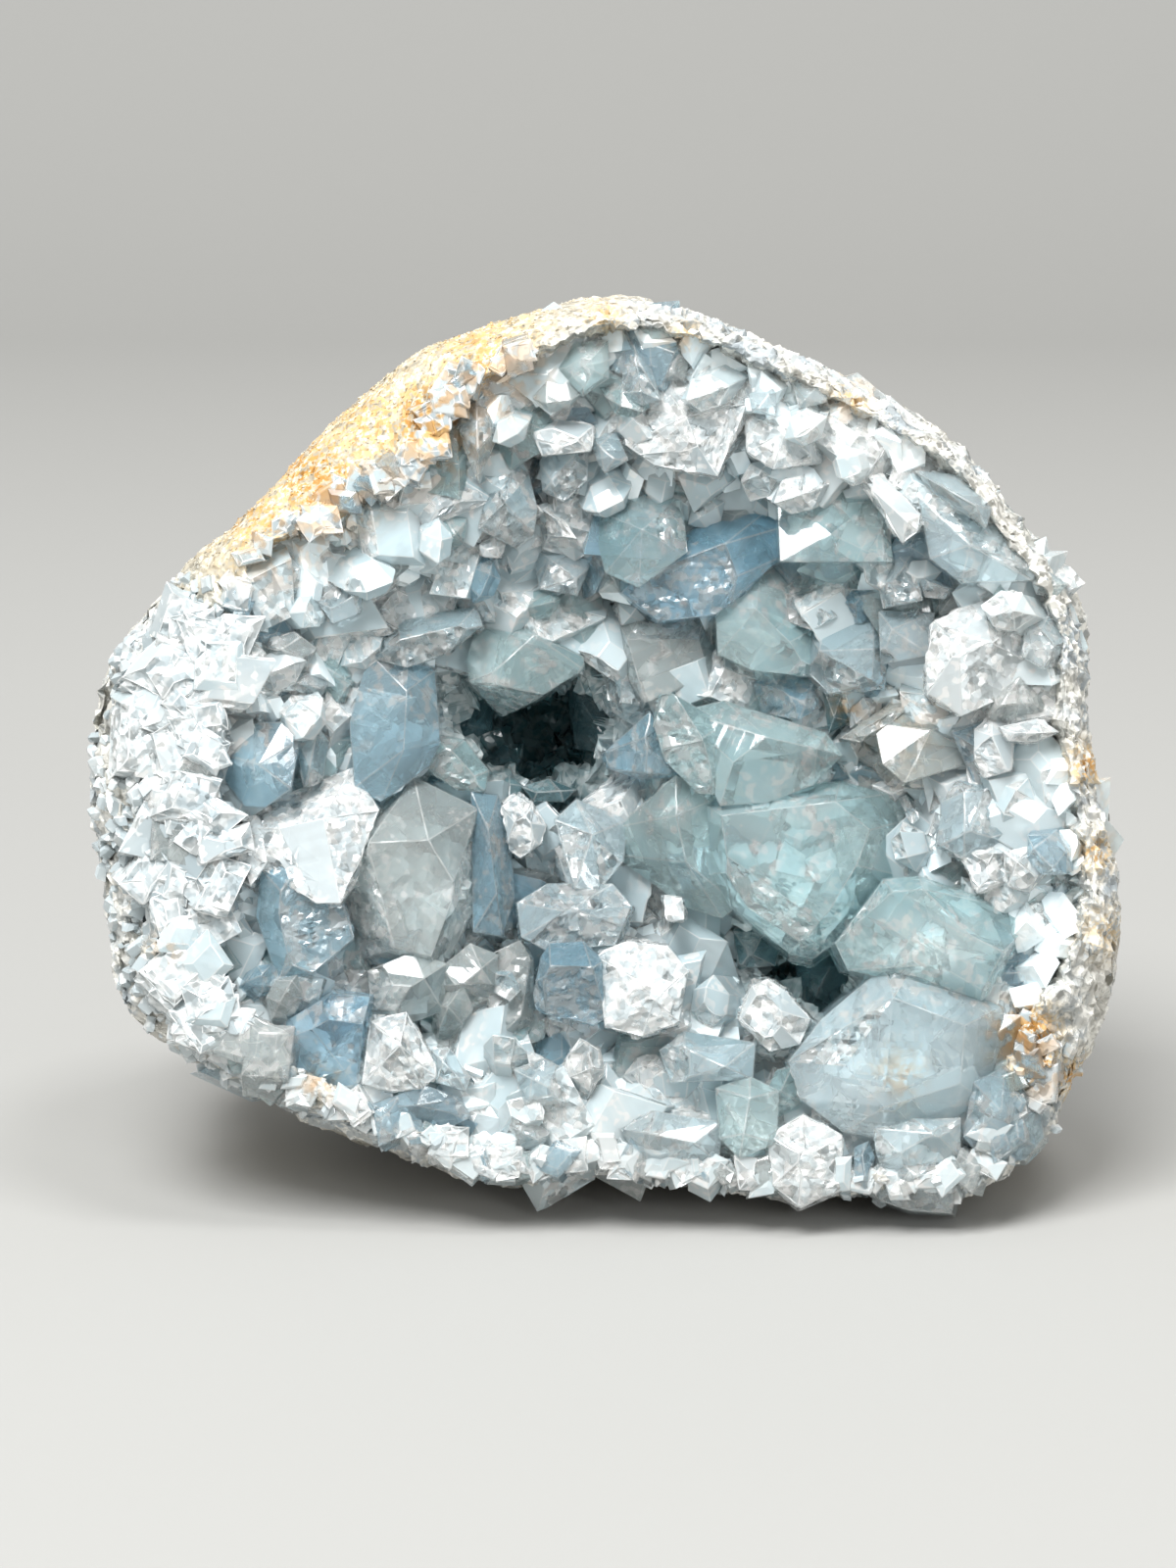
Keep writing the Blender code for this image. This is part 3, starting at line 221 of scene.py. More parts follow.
# Large crystals: outline, depth of the outline's middle, lean of the outline (depth gained to the right and
# upwards), and points that stand out in front of the outline (x, y, rise)
CRYSTALS = {
    "hanging_prism": (
        ((480, 673), (489, 642), (540, 638), (591, 671), (591, 683), (547, 711), (514, 724), (482, 694)),
        18, (0.1, 0.35), ((545, 648, 4), (503, 686, 3))),
    "green_over_hollow": (
        ((552, 627), (560, 590), (598, 562), (613, 604), (612, 654), (602, 671), (568, 658)),
        21, (0.1, 0.1), ((580, 605, 3),)),
    "striped_block": (((545, 558), (589, 560), (600, 578), (588, 606), (552, 600)), 17, (-0.2, 0.7), ()),
    "white_wedge": (((547, 531), (558, 520), (570, 521), (587, 549), (550, 545)), 14, (-0.3, 0.8), ()),
    "white_pebble": (((489, 556), (503, 547), (515, 555), (508, 569), (494, 568)), 12, (0, 0.3), ()),
    "pale_left_ledge": (
        ((407, 633), (482, 621), (489, 640), (447, 669), (417, 679), (377, 669)), 13, (-0.2, 0.6), ()),
    "blue_left_of_hollow": (
        ((378, 671), (416, 673), (441, 688), (446, 757), (436, 778), (390, 813), (365, 799), (360, 738)),
        13, (0.2, 0.1), ((415, 705, 3), (412, 765, 3))),
    "under_left_of_hollow": (
        ((446, 751), (474, 757), (497, 786), (493, 805), (464, 803), (436, 782)), 17, (0.3, 0.4), ()),
    "vivid_blue": (
        ((642, 602), (692, 575), (722, 531), (784, 521), (810, 536), (797, 567), (759, 584), (732, 623),
         (678, 629)),
        13, (0.0, 0.4), ((738, 556, 5), (716, 604, 4))),
    "block_below_blue": (
        ((636, 640), (659, 623), (721, 621), (738, 640), (738, 703), (692, 711), (657, 721), (636, 680)),
        22, (0.1, 0.1), ((640, 652, 5), (713, 652, 5), (723, 690, 5), (658, 717, 4))),
    "thin_prism_beside_block": (
        ((611, 657), (634, 642), (642, 690), (654, 718), (638, 732), (625, 724)), 22, (-0.4, 0.0), ()),
    "green_cluster": (
        ((734, 617), (759, 586), (778, 575), (801, 590), (809, 632), (828, 640), (824, 686), (768, 680),
         (736, 665)),
        14, (0.1, 0.3), ((772, 622, 4), (806, 655, 3))),
    "facet_in_cluster": (((803, 607), (849, 607), (852, 630), (828, 642), (806, 634)), 12, (0.1, 0.7), ()),
    "white_topped_block": (
        ((826, 684), (828, 648), (848, 621), (888, 624), (902, 660), (900, 701), (847, 705)),
        14, (0.0, 0.2), ((836, 664, 4), (892, 662, 4), (890, 694, 3))),
    "broad_upper_right": (
        ((797, 505), (850, 490), (903, 500), (905, 570), (800, 570)), 9, (0.0, 0.5), ((848, 545, 2),)),
    "teal_lens": (((803, 600), (820, 585), (850, 585), (863, 600), (845, 615), (815, 614)), 14, (0, 0.4), ()),
    "pale_green_upper": (
        ((604, 520), (640, 508), (692, 512), (698, 562), (652, 596), (620, 582)),
        12, (-0.2, 0.4), ((655, 540, 4),)),
    "grey_sliver": (((600, 561), (631, 563), (632, 603), (612, 603)), 17, (-0.4, 0.2), ()),
    "blue_below_cluster": (
        ((770, 697), (800, 690), (837, 697), (837, 720), (815, 733), (780, 727)), 16, (0.0, 0.5), ()),
    "teal_shadow": (((839, 697), (868, 699), (868, 735), (846, 747)), 18, (0.4, 0.0), ()),
    "white_flake": (
        ((871, 481), (894, 479), (937, 525), (935, 540), (920, 552), (893, 517)), 4, (-0.5, 0.6), ()),
    "upper_right_slab": (
        ((940, 508), (960, 506), (1023, 544), (1053, 578), (1050, 590), (982, 592), (952, 569)),
        5, (0.2, 0.3), ((990, 556, 3),)),
    "upper_right_ledge": (((936, 482), (982, 486), (1010, 518), (1004, 536), (954, 504)), 4, (0.1, 0.6), ()),
    "grey_tooth": (((896, 590), (912, 563), (933, 561), (940, 611), (902, 619)), 9, (-0.3, 0.4), ()),
    "small_wedge_right": (((937, 584), (975, 602), (963, 611), (944, 609)), 7, (0.2, 0.6), ()),
    "right_block": (((898, 625), (952, 626), (948, 667), (901, 676)), 10, (0.0, 0.2), ((910, 642, 2),)),
    "silver_fractured": (
        ((948, 672), (956, 636), (1002, 617), (1047, 632), (1047, 676), (1013, 713), (982, 726), (950, 705)),
        6, (0.1, 0.1), ((978, 660, 4), (1012, 656, 4))),
    "edge_block": (
        ((1047, 640), (1070, 630), (1093, 642), (1093, 672), (1065, 682), (1047, 670)), 5, (0.3, 0.2), ()),
    "lilac_wedge": (((1003, 722), (1040, 692), (1061, 713), (1070, 730), (1015, 736)), 7, (0.2, -0.4), ()),
    "small_edge_tip": (((1053, 592), (1070, 584), (1088, 596), (1078, 609), (1058, 606)), 6, (0.2, 0.3), ()),
    "left_white_facet": (((228, 668), (250, 654), (270, 667), (262, 690), (235, 688)), 6, (-0.3, 0.7), ()),
    "grey_blue_face": (
        ((222, 768), (263, 740), (286, 740), (303, 757), (295, 803), (270, 821), (251, 820), (226, 788)),
        7, (-0.3, 0.1), ((264, 780, 3),)),
    "left_prism": (((301, 748), (320, 736), (335, 757), (329, 792), (312, 801)), 10, (0.4, 0.1), ()),
    "dark_left_facet": (((268, 656), (300, 646), (322, 662), (310, 684), (280, 686)), 9, (0.1, -0.4), ()),
    "left_small_block": (((291, 692), (320, 684), (334, 698), (324, 714), (298, 711)), 10, (0.2, 0.3), ()),
    "leaf_shape": (((324, 613), (345, 596), (374, 601), (364, 626), (340, 635)), 9, (-0.2, 0.5), ()),
    "broken_round_left": (
        ((211, 852), (235, 836), (263, 833), (270, 879), (255, 902), (214, 876)),
        7, (-0.2, 0.3), ((242, 862, 3),)),
    "blue_flaky": (
        ((269, 890), (290, 879), (314, 898), (347, 919), (355, 957), (316, 991), (286, 997), (264, 935)),
        7, (-0.2, 0.0), ((305, 930, 4), (325, 950, 4))),
    "flaky_slab": (
        ((209, 846), (267, 818), (356, 789), (382, 829), (367, 874), (345, 917), (322, 917), (262, 868)),
        9, (-0.1, 0.5), ((330, 835, 4), (285, 845, 3))),
    "low_left_block": (((258, 1002), (290, 992), (328, 1000), (320, 1032), (272, 1030)), 8, (-0.2, -0.2), ()),
    "smoky_block": (
        ((352, 966), (353, 918), (374, 850), (422, 800), (459, 830), (483, 831), (478, 921), (447, 995),
         (430, 984)),
        15, (0.0, 0.0), ((376, 860, 7), (437, 857, 7), (466, 905, 6), (440, 976, 6), (360, 958, 6))),
    "white_rounded_tooth": (
        ((514, 822), (528, 814), (543, 820), (556, 842), (549, 861), (531, 874), (520, 866)),
        16, (0.0, 0.3), ((533, 838, 4),)),
    "tall_blue": (
        ((482, 812), (508, 817), (518, 846), (513, 882), (524, 913), (512, 950), (484, 946), (480, 867)),
        16, (0.5, 0.2), ()),
    "light_block": (
        ((568, 838), (589, 819), (638, 838), (634, 878), (612, 904), (587, 904), (574, 858)),
        17, (0.3, 0.5), ((604, 852, 3),)),
    "broad_pale_blue": (
        ((531, 922), (560, 904), (622, 904), (640, 925), (625, 962), (560, 968), (535, 955)),
        13, (0.0, 0.4), ((580, 930, 3),)),
    "low_blue_prism": (
        ((547, 1012), (554, 978), (562, 965), (594, 963), (614, 982), (614, 1037), (604, 1043), (553, 1030)),
        10, (0.0, 0.1), ((562, 986, 4), (604, 988, 4), (602, 1034, 3))),
    "small_bright_facet": (((506, 992), (522, 992), (531, 1010), (520, 1021), (505, 1012)), 12, (0, 0.5), ()),
    "smoky_low": (
        ((378, 992), (420, 974), (453, 985), (450, 1030), (410, 1044), (382, 1030)), 11, (0.1, -0.2), ()),
    "grey_low": (
        ((453, 987), (480, 965), (506, 976), (506, 1013), (475, 1028), (456, 1020)), 12, (0.2, 0.2), ()),
    "grey_low_right": (
        ((499, 1024), (503, 976), (530, 963), (543, 982), (543, 1040), (516, 1060)), 14, (0.3, -0.2), ()),
    "wing_left": (
        ((671, 744), (677, 713), (687, 711), (709, 727), (738, 740), (747, 762), (742, 792), (733, 807),
         (713, 806), (681, 775)),
        12, (0.3, 0.1), ((708, 758, 4),)),
    "wing_right": (
        ((700, 729), (742, 719), (799, 736), (839, 750), (854, 771), (826, 799), (784, 815), (738, 819),
         (733, 806)),
        13, (0.0, 0.2), ((782, 752, 5), (748, 778, 4), (834, 764, 4))),
    "great_crystal": (
        ((722, 822), (738, 817), (854, 803), (900, 815), (910, 842), (906, 891), (866, 945), (828, 971),
         (806, 966), (751, 922), (732, 891)),
        16, (0.0, 0.1),
        ((736, 832, 6), (788, 833, 7), (852, 818, 7), (888, 847, 6), (874, 883, 7), (846, 930, 7),
         (820, 957, 6), (774, 928, 6), (744, 890, 6))),
    "dark_prism_beside_great": (
        ((629, 872), (636, 846), (690, 797), (722, 822), (726, 863), (749, 920), (734, 933), (699, 922),
         (661, 895)),
        18, (-0.3, -0.2), ((690, 832, 4), (700, 880, 4))),
    "dark_blue_wedge": (
        ((621, 767), (663, 729), (673, 745), (690, 780), (692, 791), (655, 794), (625, 784)),
        18, (-0.4, -0.2), ()),
    "white_chip": (((678, 914), (696, 916), (698, 938), (681, 939)), 14, (0.0, 0.4), ()),
    "white_mass": (
        ((613, 978), (640, 964), (680, 968), (699, 992), (690, 1040), (655, 1054), (620, 1045)),
        9, (-0.1, 0.2), ((650, 1000, 3), (668, 1020, 3))),
    "smoky_green": (
        ((896, 739), (944, 711), (982, 725), (1000, 733), (1002, 773), (956, 778), (925, 796), (904, 778)),
        13, (0.2, 0.6), ((950, 745, 3),)),
    "striped_ledge": (((860, 752), (910, 717), (944, 712), (905, 744), (879, 756)), 14, (0.0, 0.9), ()),
    "right_cube": (
        ((962, 820), (976, 799), (1013, 803), (1037, 853), (984, 886), (958, 863)), 10, (0.0, 0.2),
        ((984, 808, 3), (1010, 806, 3), (1024, 838, 4), (984, 850, 4))),
    "needle": (((917, 815), (925, 812), (938, 835), (930, 840)), 12, (-0.2, 0.5), ()),
    "right_chip": (((982, 872), (1010, 859), (1028, 872), (1026, 900), (998, 910)), 8, (0.1, 0.2), ()),
    "beige_rough": (((1026, 870), (1060, 863), (1070, 888), (1050, 909), (1030, 903)), 6, (0.3, 0.0), ()),
    "broken_white_right": (
        ((994, 745), (1012, 731), (1032, 747), (1030, 785), (1005, 792), (995, 775)), 7, (0.0, 0.3), ()),
    "edge_flake": (((1021, 742), (1058, 734), (1080, 747), (1058, 757), (1030, 756)), 5, (0.2, 0.6), ()),
    "lower_right_block": (
        ((860, 962), (878, 944), (906, 902), (940, 899), (1032, 930), (1055, 953), (1052, 992), (1030, 1024),
         (988, 1012), (872, 988)),
        10, (0.0, 0.1),
        ((910, 910, 4), (942, 907, 5), (990, 955, 5), (956, 984, 5), (930, 952, 4), (1026, 972, 4))),
    "largest_lower_right": (
        ((812, 1083), (845, 1042), (904, 992), (930, 994), (1016, 1031), (1018, 1050), (998, 1120),
         (972, 1136), (899, 1155), (865, 1150), (824, 1118)),
        9, (0.0, 0.1),
        ((912, 1018, 6), (985, 1046, 6), (980, 1106, 5), (902, 1130, 5), (862, 1088, 4))),
    "dark_blue_low_right": (
        ((989, 1130), (995, 1107), (1025, 1093), (1057, 1120), (1062, 1159), (1044, 1181), (1009, 1186),
         (985, 1159)),
        8, (0.3, -0.2), ((1022, 1134, 3),)),
    "low_right_shelf": (
        ((894, 1152), (930, 1142), (977, 1145), (977, 1180), (940, 1196), (900, 1185)), 7, (0.0, -0.2), ()),
    "lowest_tip": (
        ((888, 1198), (910, 1180), (950, 1176), (977, 1196), (968, 1236), (930, 1234), (900, 1224)),
        9, (0.0, -0.3), ((936, 1200, 3),)),
    "low_blue_strip": (((872, 1173), (886, 1166), (892, 1182), (885, 1218), (873, 1214)), 8, (0.4, 0.0), ()),
    "top_tooth": (((434, 472), (438, 447), (446, 443), (457, 473)), 9, (0.3, 0.2), ()),
    "hanging_triangle": (((458, 420), (487, 414), (515, 425), (488, 488)), 8, (0.0, 0.3), ()),
    "rounded_upper_left": (
        ((503, 482), (526, 473), (539, 487), (547, 519), (543, 544), (527, 556), (490, 538)),
        10, (0.0, 0.2), ((515, 512, 4),)),
    "broken_white_top": (((543, 440), (570, 429), (604, 435), (600, 460), (555, 464)), 8, (0.0, 0.5), ()),
    "silver_top": (
        ((552, 472), (566, 448), (598, 450), (598, 490), (575, 510), (555, 500)), 11, (-0.2, 0.3), ()),
    "clear_prism": (((602, 447), (627, 441), (640, 469), (617, 482), (610, 470)), 9, (-0.3, 0.3), ()),
    "aqua_rounded": (
        ((570, 376), (588, 351), (619, 348), (620, 385), (595, 402)), 6, (-0.1, 0.2), ((597, 374, 3),)),
    "aqua_at_top": (((654, 335), (670, 321), (692, 330), (690, 343), (665, 346)), 6, (0.0, 0.4), ()),
    "grey_brown_chip": (((671, 361), (690, 351), (703, 366), (698, 387), (675, 388)), 7, (0.1, 0.2), ()),
    "spire": (((633, 400), (640, 360), (646, 340), (660, 365), (673, 406), (655, 412)), 6, (-0.3, 0.4), ()),
    "silver_top_slab": (
        ((646, 430), (673, 388), (715, 380), (759, 412), (747, 430), (730, 482), (671, 472), (642, 452)),
        7, (-0.2, 0.4), ((700, 425, 4), (712, 455, 3))),
    "grey_side_strip": (((728, 458), (757, 414), (766, 410), (766, 438), (732, 482)), 8, (0.6, 0.2), ()),
    "flaky_top_right": (
        ((763, 422), (800, 414), (839, 431), (835, 470), (790, 477), (765, 460)),
        7, (0.0, 0.4), ((800, 442, 3),)),
    "bar_facet": (((765, 402), (791, 393), (791, 424), (768, 420)), 5, (-0.2, 0.6), ()),
    "beige_top": (((809, 391), (843, 384), (843, 410), (816, 416)), 5, (0.0, 0.4), ()),
    "dark_small_facet": (((778, 498), (800, 491), (807, 508), (786, 512)), 12, (0.0, -0.3), ()),
    "blue_underside": (
        ((210, 1092), (243, 1075), (287, 1052), (335, 1019), (368, 1024), (358, 1104), (310, 1102),
         (263, 1116)),
        9, (-0.2, -0.5), ((318, 1050, 3),)),
    "edge_crystal_low_left": (
        ((284, 1124), (291, 1098), (314, 1111), (336, 1130), (300, 1134)), 9, (0.0, -0.3), ()),
    "white_tipped_low": (
        ((379, 1044), (415, 1035), (440, 1082), (442, 1098), (430, 1109), (398, 1111), (372, 1105)),
        7, (-0.1, 0.2), ((408, 1066, 5),)),
    "small_low_prism": (((442, 1073), (459, 1071), (479, 1098), (474, 1112), (446, 1104)), 8, (0.2, 0.2), ()),
    "blue_lens_low": (
        ((372, 1132), (433, 1109), (467, 1123), (476, 1140), (446, 1155), (408, 1165), (385, 1157)),
        8, (0.0, -0.4), ((425, 1128, 2),)),
    "low_middle_block": (
        ((526, 1092), (555, 1082), (584, 1096), (574, 1130), (540, 1136)), 9, (0.0, 0.2), ()),
    "dark_low_face": (((524, 1151), (545, 1144), (561, 1155), (550, 1174), (530, 1170)), 9, (0.0, -0.5), ()),
    "white_cube_low": (
        ((757, 1040), (769, 1007), (784, 1001), (800, 1012), (824, 1040), (815, 1064), (785, 1071)),
        11, (0.1, 0.2), ((778, 1026, 5),)),
    "pale_low_slab": (((676, 1072), (700, 1054), (767, 1065), (765, 1100), (687, 1103)), 9, (0.0, 0.4), ()),
    "clear_low_block": (
        ((732, 1112), (765, 1101), (793, 1115), (790, 1165), (755, 1179), (736, 1160)), 7, (0.0, 0.1), ()),
    "low_wide_block": (((636, 1152), (670, 1136), (734, 1146), (730, 1185), (660, 1190)), 8, (0.0, -0.1), ()),
    "white_round_low": (
        ((786, 1160), (820, 1140), (857, 1162), (855, 1212), (815, 1228), (791, 1208)),
        7, (0.0, 0.0), ((820, 1180, 3),)),
    "brown_in_hollow": (((459, 722), (478, 700), (503, 707), (500, 744), (472, 756)), 36, (0.2, 0.2), ()),
    "flat_in_hollow": (((579, 694), (620, 702), (626, 768), (588, 762)), 35, (-0.6, 0.1), ()),
    "low_in_hollow": (((494, 776), (514, 761), (531, 776), (520, 792), (499, 790)), 38, (0.0, 0.5), ()),
    "lip_left": (((507, 802), (520, 792), (533, 802), (527, 818), (511, 817)), 27, (0.0, 0.4), ()),
    "lip_right": (((534, 803), (560, 795), (586, 806), (574, 818), (545, 817)), 26, (0.0, 0.5), ()),
    "face_in_lower_hollow": (
        ((813, 988), (840, 970), (866, 987), (855, 1030), (822, 1036)), 31, (-0.2, 0.2), ()),
    "edge_in_lower_hollow": (
        ((749, 950), (770, 938), (797, 952), (790, 984), (756, 986)), 27, (0.3, 0.2), ()),
}

# What each crystal is like: its tint, and how much of it is broken and frosted
TINTS = {
    "aqua": (
        "hanging_prism", "green_over_hollow", "green_cluster", "pale_green_upper", "aqua_rounded",
        "aqua_at_top", "great_crystal", "wing_left", "wing_right", "dark_prism_beside_great",
        "clear_low_block", "lower_right_block", "teal_lens", "broad_upper_right", "under_left_of_hollow",
    ),
    "vivid": ("vivid_blue", "blue_underside"),
    "blue": (
        "low_blue_prism", "blue_lens_low", "tall_blue",
        "dark_blue_low_right", "blue_flaky", "grey_blue_face", "low_blue_strip", "dark_blue_wedge",
        "blue_below_cluster", "blue_left_of_hollow",
    ),
    "smoky": (
        "smoky_block", "smoky_low", "lilac_wedge", "smoky_green", "grey_low", "grey_low_right",
        "grey_brown_chip", "grey_sliver", "dark_left_facet", "striped_ledge", "block_below_blue",
    ),
    "white": (
        "white_mass", "white_round_low", "white_chip", "white_pebble", "white_flake", "white_cube_low",
        "broken_white_right", "broken_white_top", "white_wedge", "left_white_facet", "white_rounded_tooth",
        "flaky_slab", "silver_fractured", "flaky_top_right", "silver_top_slab", "right_chip", "edge_flake",
        "beige_rough", "broken_round_left", "white_tipped_low",
    ),
    # Painted shade: crystals in the hollows and in shade get the darker deep finish
    "deep": (
        "brown_in_hollow", "flat_in_hollow", "low_in_hollow", "lip_left", "lip_right",
        "face_in_lower_hollow", "edge_in_lower_hollow", "teal_shadow",
    ),
}
BROKEN_SHARE = {
    "pale": 0.25, "aqua": 0.07, "blue": 0.15, "vivid": 0.15, "smoky": 0.10, "white": 0.8, "deep": 0.1,
    "frosted": 0.25, "rough": 0.85,
}

# How likely each tint is among the smaller crystals in the hollow and on the broken wall
FILLER_TINTS = {"frosted": 10, "white": 5, "blue": 2, "smoky": 2, "aqua": 2}
WALL_TINTS = {"rough": 10, "frosted": 3, "smoky": 2, "white": 1, "blue": 1}


def place(x, y, depth):
    """World point of a place on the picture, so many millimetres behind the rim."""
    spread = UNIT * (1 + depth / VIEW_DISTANCE)
    right = (x - PICTURE_CENTRE[0]) * spread
    up = (PICTURE_CENTRE[1] - y) * spread
    tilt = math.radians(FACE_TILT)
    forward = up * math.sin(tilt) + depth * math.cos(tilt)
    height = up * math.cos(tilt) - depth * math.sin(tilt)
    return MM * (Vector((right, forward, height)) + Vector(SHIFT))


def smooth_stop(stops, angle):
    """Value at an angle, from (angle, value) stops round a circle, passing smoothly through them."""
    count = len(stops)
    angle = angle % 360.0
    after = next((i for i, (at, _) in enumerate(stops) if at > angle), count)
    around = [stops[(after + k) % count] for k in (-2, -1, 0, 1)]
    start = around[1][0]
    span = (around[2][0] - start) % 360.0 or 360.0
    share = ((angle - start) % 360.0) / span
    slopes = []
    for k in (0, 1):
        gap = (around[k + 2][0] - around[k][0]) % 360.0
        slopes.append((around[k + 2][1] - around[k][1]) / gap * span)
    low, high = around[1][1], around[2][1]
    square, cube = share * share, share ** 3
    return (
        low * (2 * cube - 3 * square + 1)
        + slopes[0] * (cube - 2 * square + share)
        + high * (3 * square - 2 * cube)
        + slopes[1] * (cube - square)
    )


def hub_angle(x, y):
    """Angle about the hub of a place on the picture, in degrees from the right, anticlockwise."""
    return math.degrees(math.atan2(HUB[1] - y, x - HUB[0])) % 360.0


def hub_distance(x, y):
    """How far a place on the picture lies from the hub."""
    return math.hypot(x - HUB[0], y - HUB[1])


OUTLINE_STOPS = sorted((hub_angle(x, y), hub_distance(x, y)) for x, y in OUTLINE)


def rim_reach(angle):
    """Distance of the broken rim from the hub."""
    return smooth_stop(OUTLINE_STOPS, angle) * smooth_stop(CREST_REACH, angle)


def ray_place(angle, share):
    """Picture place on the ray at an angle from the hub, at a share of the outline's radius."""
    reach = smooth_stop(OUTLINE_STOPS, angle) * share
    turn = math.radians(angle)
    return HUB[0] + reach * math.cos(turn), HUB[1] - reach * math.sin(turn)


def ray_point(angle, share, depth):
    """World point on the ray at an angle from the hub, at a share of the outline's radius."""
    return place(*ray_place(angle, share), depth)


def underside(angle):
    """1 at the very bottom of the outline, falling to 0 at its sides."""
    return max(0.0, -math.sin(math.radians(angle))) ** UNDERSIDE_BREADTH


def back_point(angle, rise):
    """Outside of the back: rise is 0 at the girth and 90 at the rearmost point."""
    fullness = BACK_FULLNESS + (UNDERSIDE_FULLNESS - BACK_FULLNESS) * underside(angle)
    bend = math.radians(rise)
    depth = GIRTH_DEPTH + (GEODE_DEPTH - GIRTH_DEPTH) * math.sin(bend)
    return ray_point(angle, max(0.0, math.cos(bend)) ** fullness, depth)


def band_point(angle, rise):
    """Band between the rim's crest (0) and the girth (90)."""
    crest = smooth_stop(CREST_REACH, angle)
    depth = smooth_stop(CREST_DEPTH, angle)
    bend = math.radians(rise)
    share = crest + (1 - crest) * math.sin(bend)
    return ray_point(angle, share, GIRTH_DEPTH - (GIRTH_DEPTH - depth) * math.cos(bend))


def hollow_point(angle, rise):
    """Inside of the wall: rise is 0 at the crest and 90 at the bottom of the bowl."""
    crest = smooth_stop(CREST_REACH, angle)
    depth = smooth_stop(CREST_DEPTH, angle)
    bend = math.radians(rise)
    bottom = GEODE_DEPTH - WALL_BACK
    share = (crest - CREST_INSET) * max(0.0, math.cos(bend)) ** HOLLOW_FULLNESS
    return ray_point(angle, share, depth + (bottom - depth) * math.sin(bend))


def lumps(point, size, height):
    """Offset in metres of rounded lumps and dents at a world point."""
    return MM * height * noise.noise(point / (MM * size))


def outside_relief(point):
    """Broad lumps, small knobs and scattered pits of the nodule's outside."""
    knob = abs(noise.noise(point / (MM * KNOB_SIZE)))
    pit = max(0.0, noise.noise(point / (MM * PIT_SIZE) + Vector((7.0, 3.0, 1.0))) - PIT_START)
    return lumps(point, LUMP_SIZE, LUMP_HEIGHT) + MM * (KNOB_HEIGHT * knob - PIT_DEPTH * pit)


def ledge_relief(point, angle):
    """Flat steps of the broken wall along the rim, higher where the wall shows broad."""
    low, high = LEDGE_HEIGHT
    height = low + (high - low) * (1 - smooth_stop(CREST_REACH, angle)) / WIDE_BAND
    rough = noise.noise(point / (MM * LEDGE_SIZE)) + 0.5 * noise.noise(point / (MM * LEDGE_SIZE / 2))
    return MM * height * abs(round(rough * LEDGE_STEPS) / LEDGE_STEPS)


def growing_depth(x, y):
    """Depth of the surface that crystals grow from, at a place on the picture."""
    angle = hub_angle(x, y)
    share = min(1.0, hub_distance(x, y) / rim_reach(angle))
    return smooth_stop(CREST_DEPTH, angle) + LINING_SET_BACK + LINING_BOWL * (1 - share ** 2)


def rim_depth(x, y):
    """Depth of the surface at a place on the picture: the growing surface, or the broken wall outside it."""
    angle = hub_angle(x, y)
    crest = smooth_stop(CREST_REACH, angle)
    share = hub_distance(x, y) / smooth_stop(OUTLINE_STOPS, angle)
    if share <= crest:
        return growing_depth(x, y)
    edge = smooth_stop(CREST_DEPTH, angle)
    out = min(1.0, (share - crest) / (1 - crest))
    return GIRTH_DEPTH - (GIRTH_DEPTH - edge) * math.sqrt(1 - out ** 2)


def mean_point(points):
    """Middle of some points."""
    return sum(points, Vector((0.0, 0.0, 0.0))) / len(points)


def middle_of(outline):
    """Middle of an outline's corners."""
    return tuple(sum(spot[k] for spot in outline) / len(outline) for k in (0, 1))


def widened(outline, share):
    """An outline drawn larger or smaller about its middle."""
    middle_x, middle_y = middle_of(outline)
    return [(middle_x + (x - middle_x) * share, middle_y + (y - middle_y) * share) for x, y in outline]


def root_direction(x, y):
    """Way from a crystal's tip to its root: backwards, and outwards the nearer it grows to the rim."""
    outward = 0.75 / smooth_stop(OUTLINE_STOPS, 0.0)
    tip = place(x, y, 0.0)
    root = place(x + (x - HUB[0]) * outward * 0.15, y + (y - HUB[1]) * outward * 0.15, 12.0)
    return (root - tip).normalized()


def chisel_tips(outline, middle_x, middle_y):
    """Ends of the ridge of a chisel-shaped crystal, along its longest way across."""
    far = max(outline, key=lambda spot: math.dist(spot, (middle_x, middle_y)))
    along = ((far[0] - middle_x) * CHISEL_LENGTH, (far[1] - middle_y) * CHISEL_LENGTH)
    rise = math.dist(far, (middle_x, middle_y)) * 2 * UNIT * CHISEL_RISE
    return (
        (middle_x + along[0], middle_y + along[1], rise),
        (middle_x - along[0], middle_y - along[1], rise * 0.9),
    )


def crystal_points(outline, depth, lean, tips):
    """Corners of one crystal: its outline, what stands out in front of it, and its buried root."""
    middle_x, middle_y = middle_of(outline)

    def leaning(x, y, rise):
        return depth + UNIT * (lean[0] * (x - middle_x) + lean[1] * (middle_y - y)) - rise

    front = [place(x, y, leaning(x, y, 0.0)) for x, y in outline]
    middle = mean_point(front)
    reach = max(growing_depth(middle_x, middle_y) - depth, 2.0) + ROOT_BURY
    way = root_direction(middle_x, middle_y) * MM * reach
    root = [middle + (point - middle) * ROOT_FLARE + way for point in front]
    if not tips:
        tips = chisel_tips(outline, middle_x, middle_y)
    return front + root + [place(x, y, leaning(x, y, rise)) for x, y, rise in tips]


def inside(x, y, outline):
    """Whether a place on the picture lies inside an outline."""
    spot = Vector((x, y))
    first = Vector(outline[0])
    return any(
        intersect_point_tri_2d(spot, first, Vector(a), Vector(b)) for a, b in zip(outline[1:], outline[2:])
    )


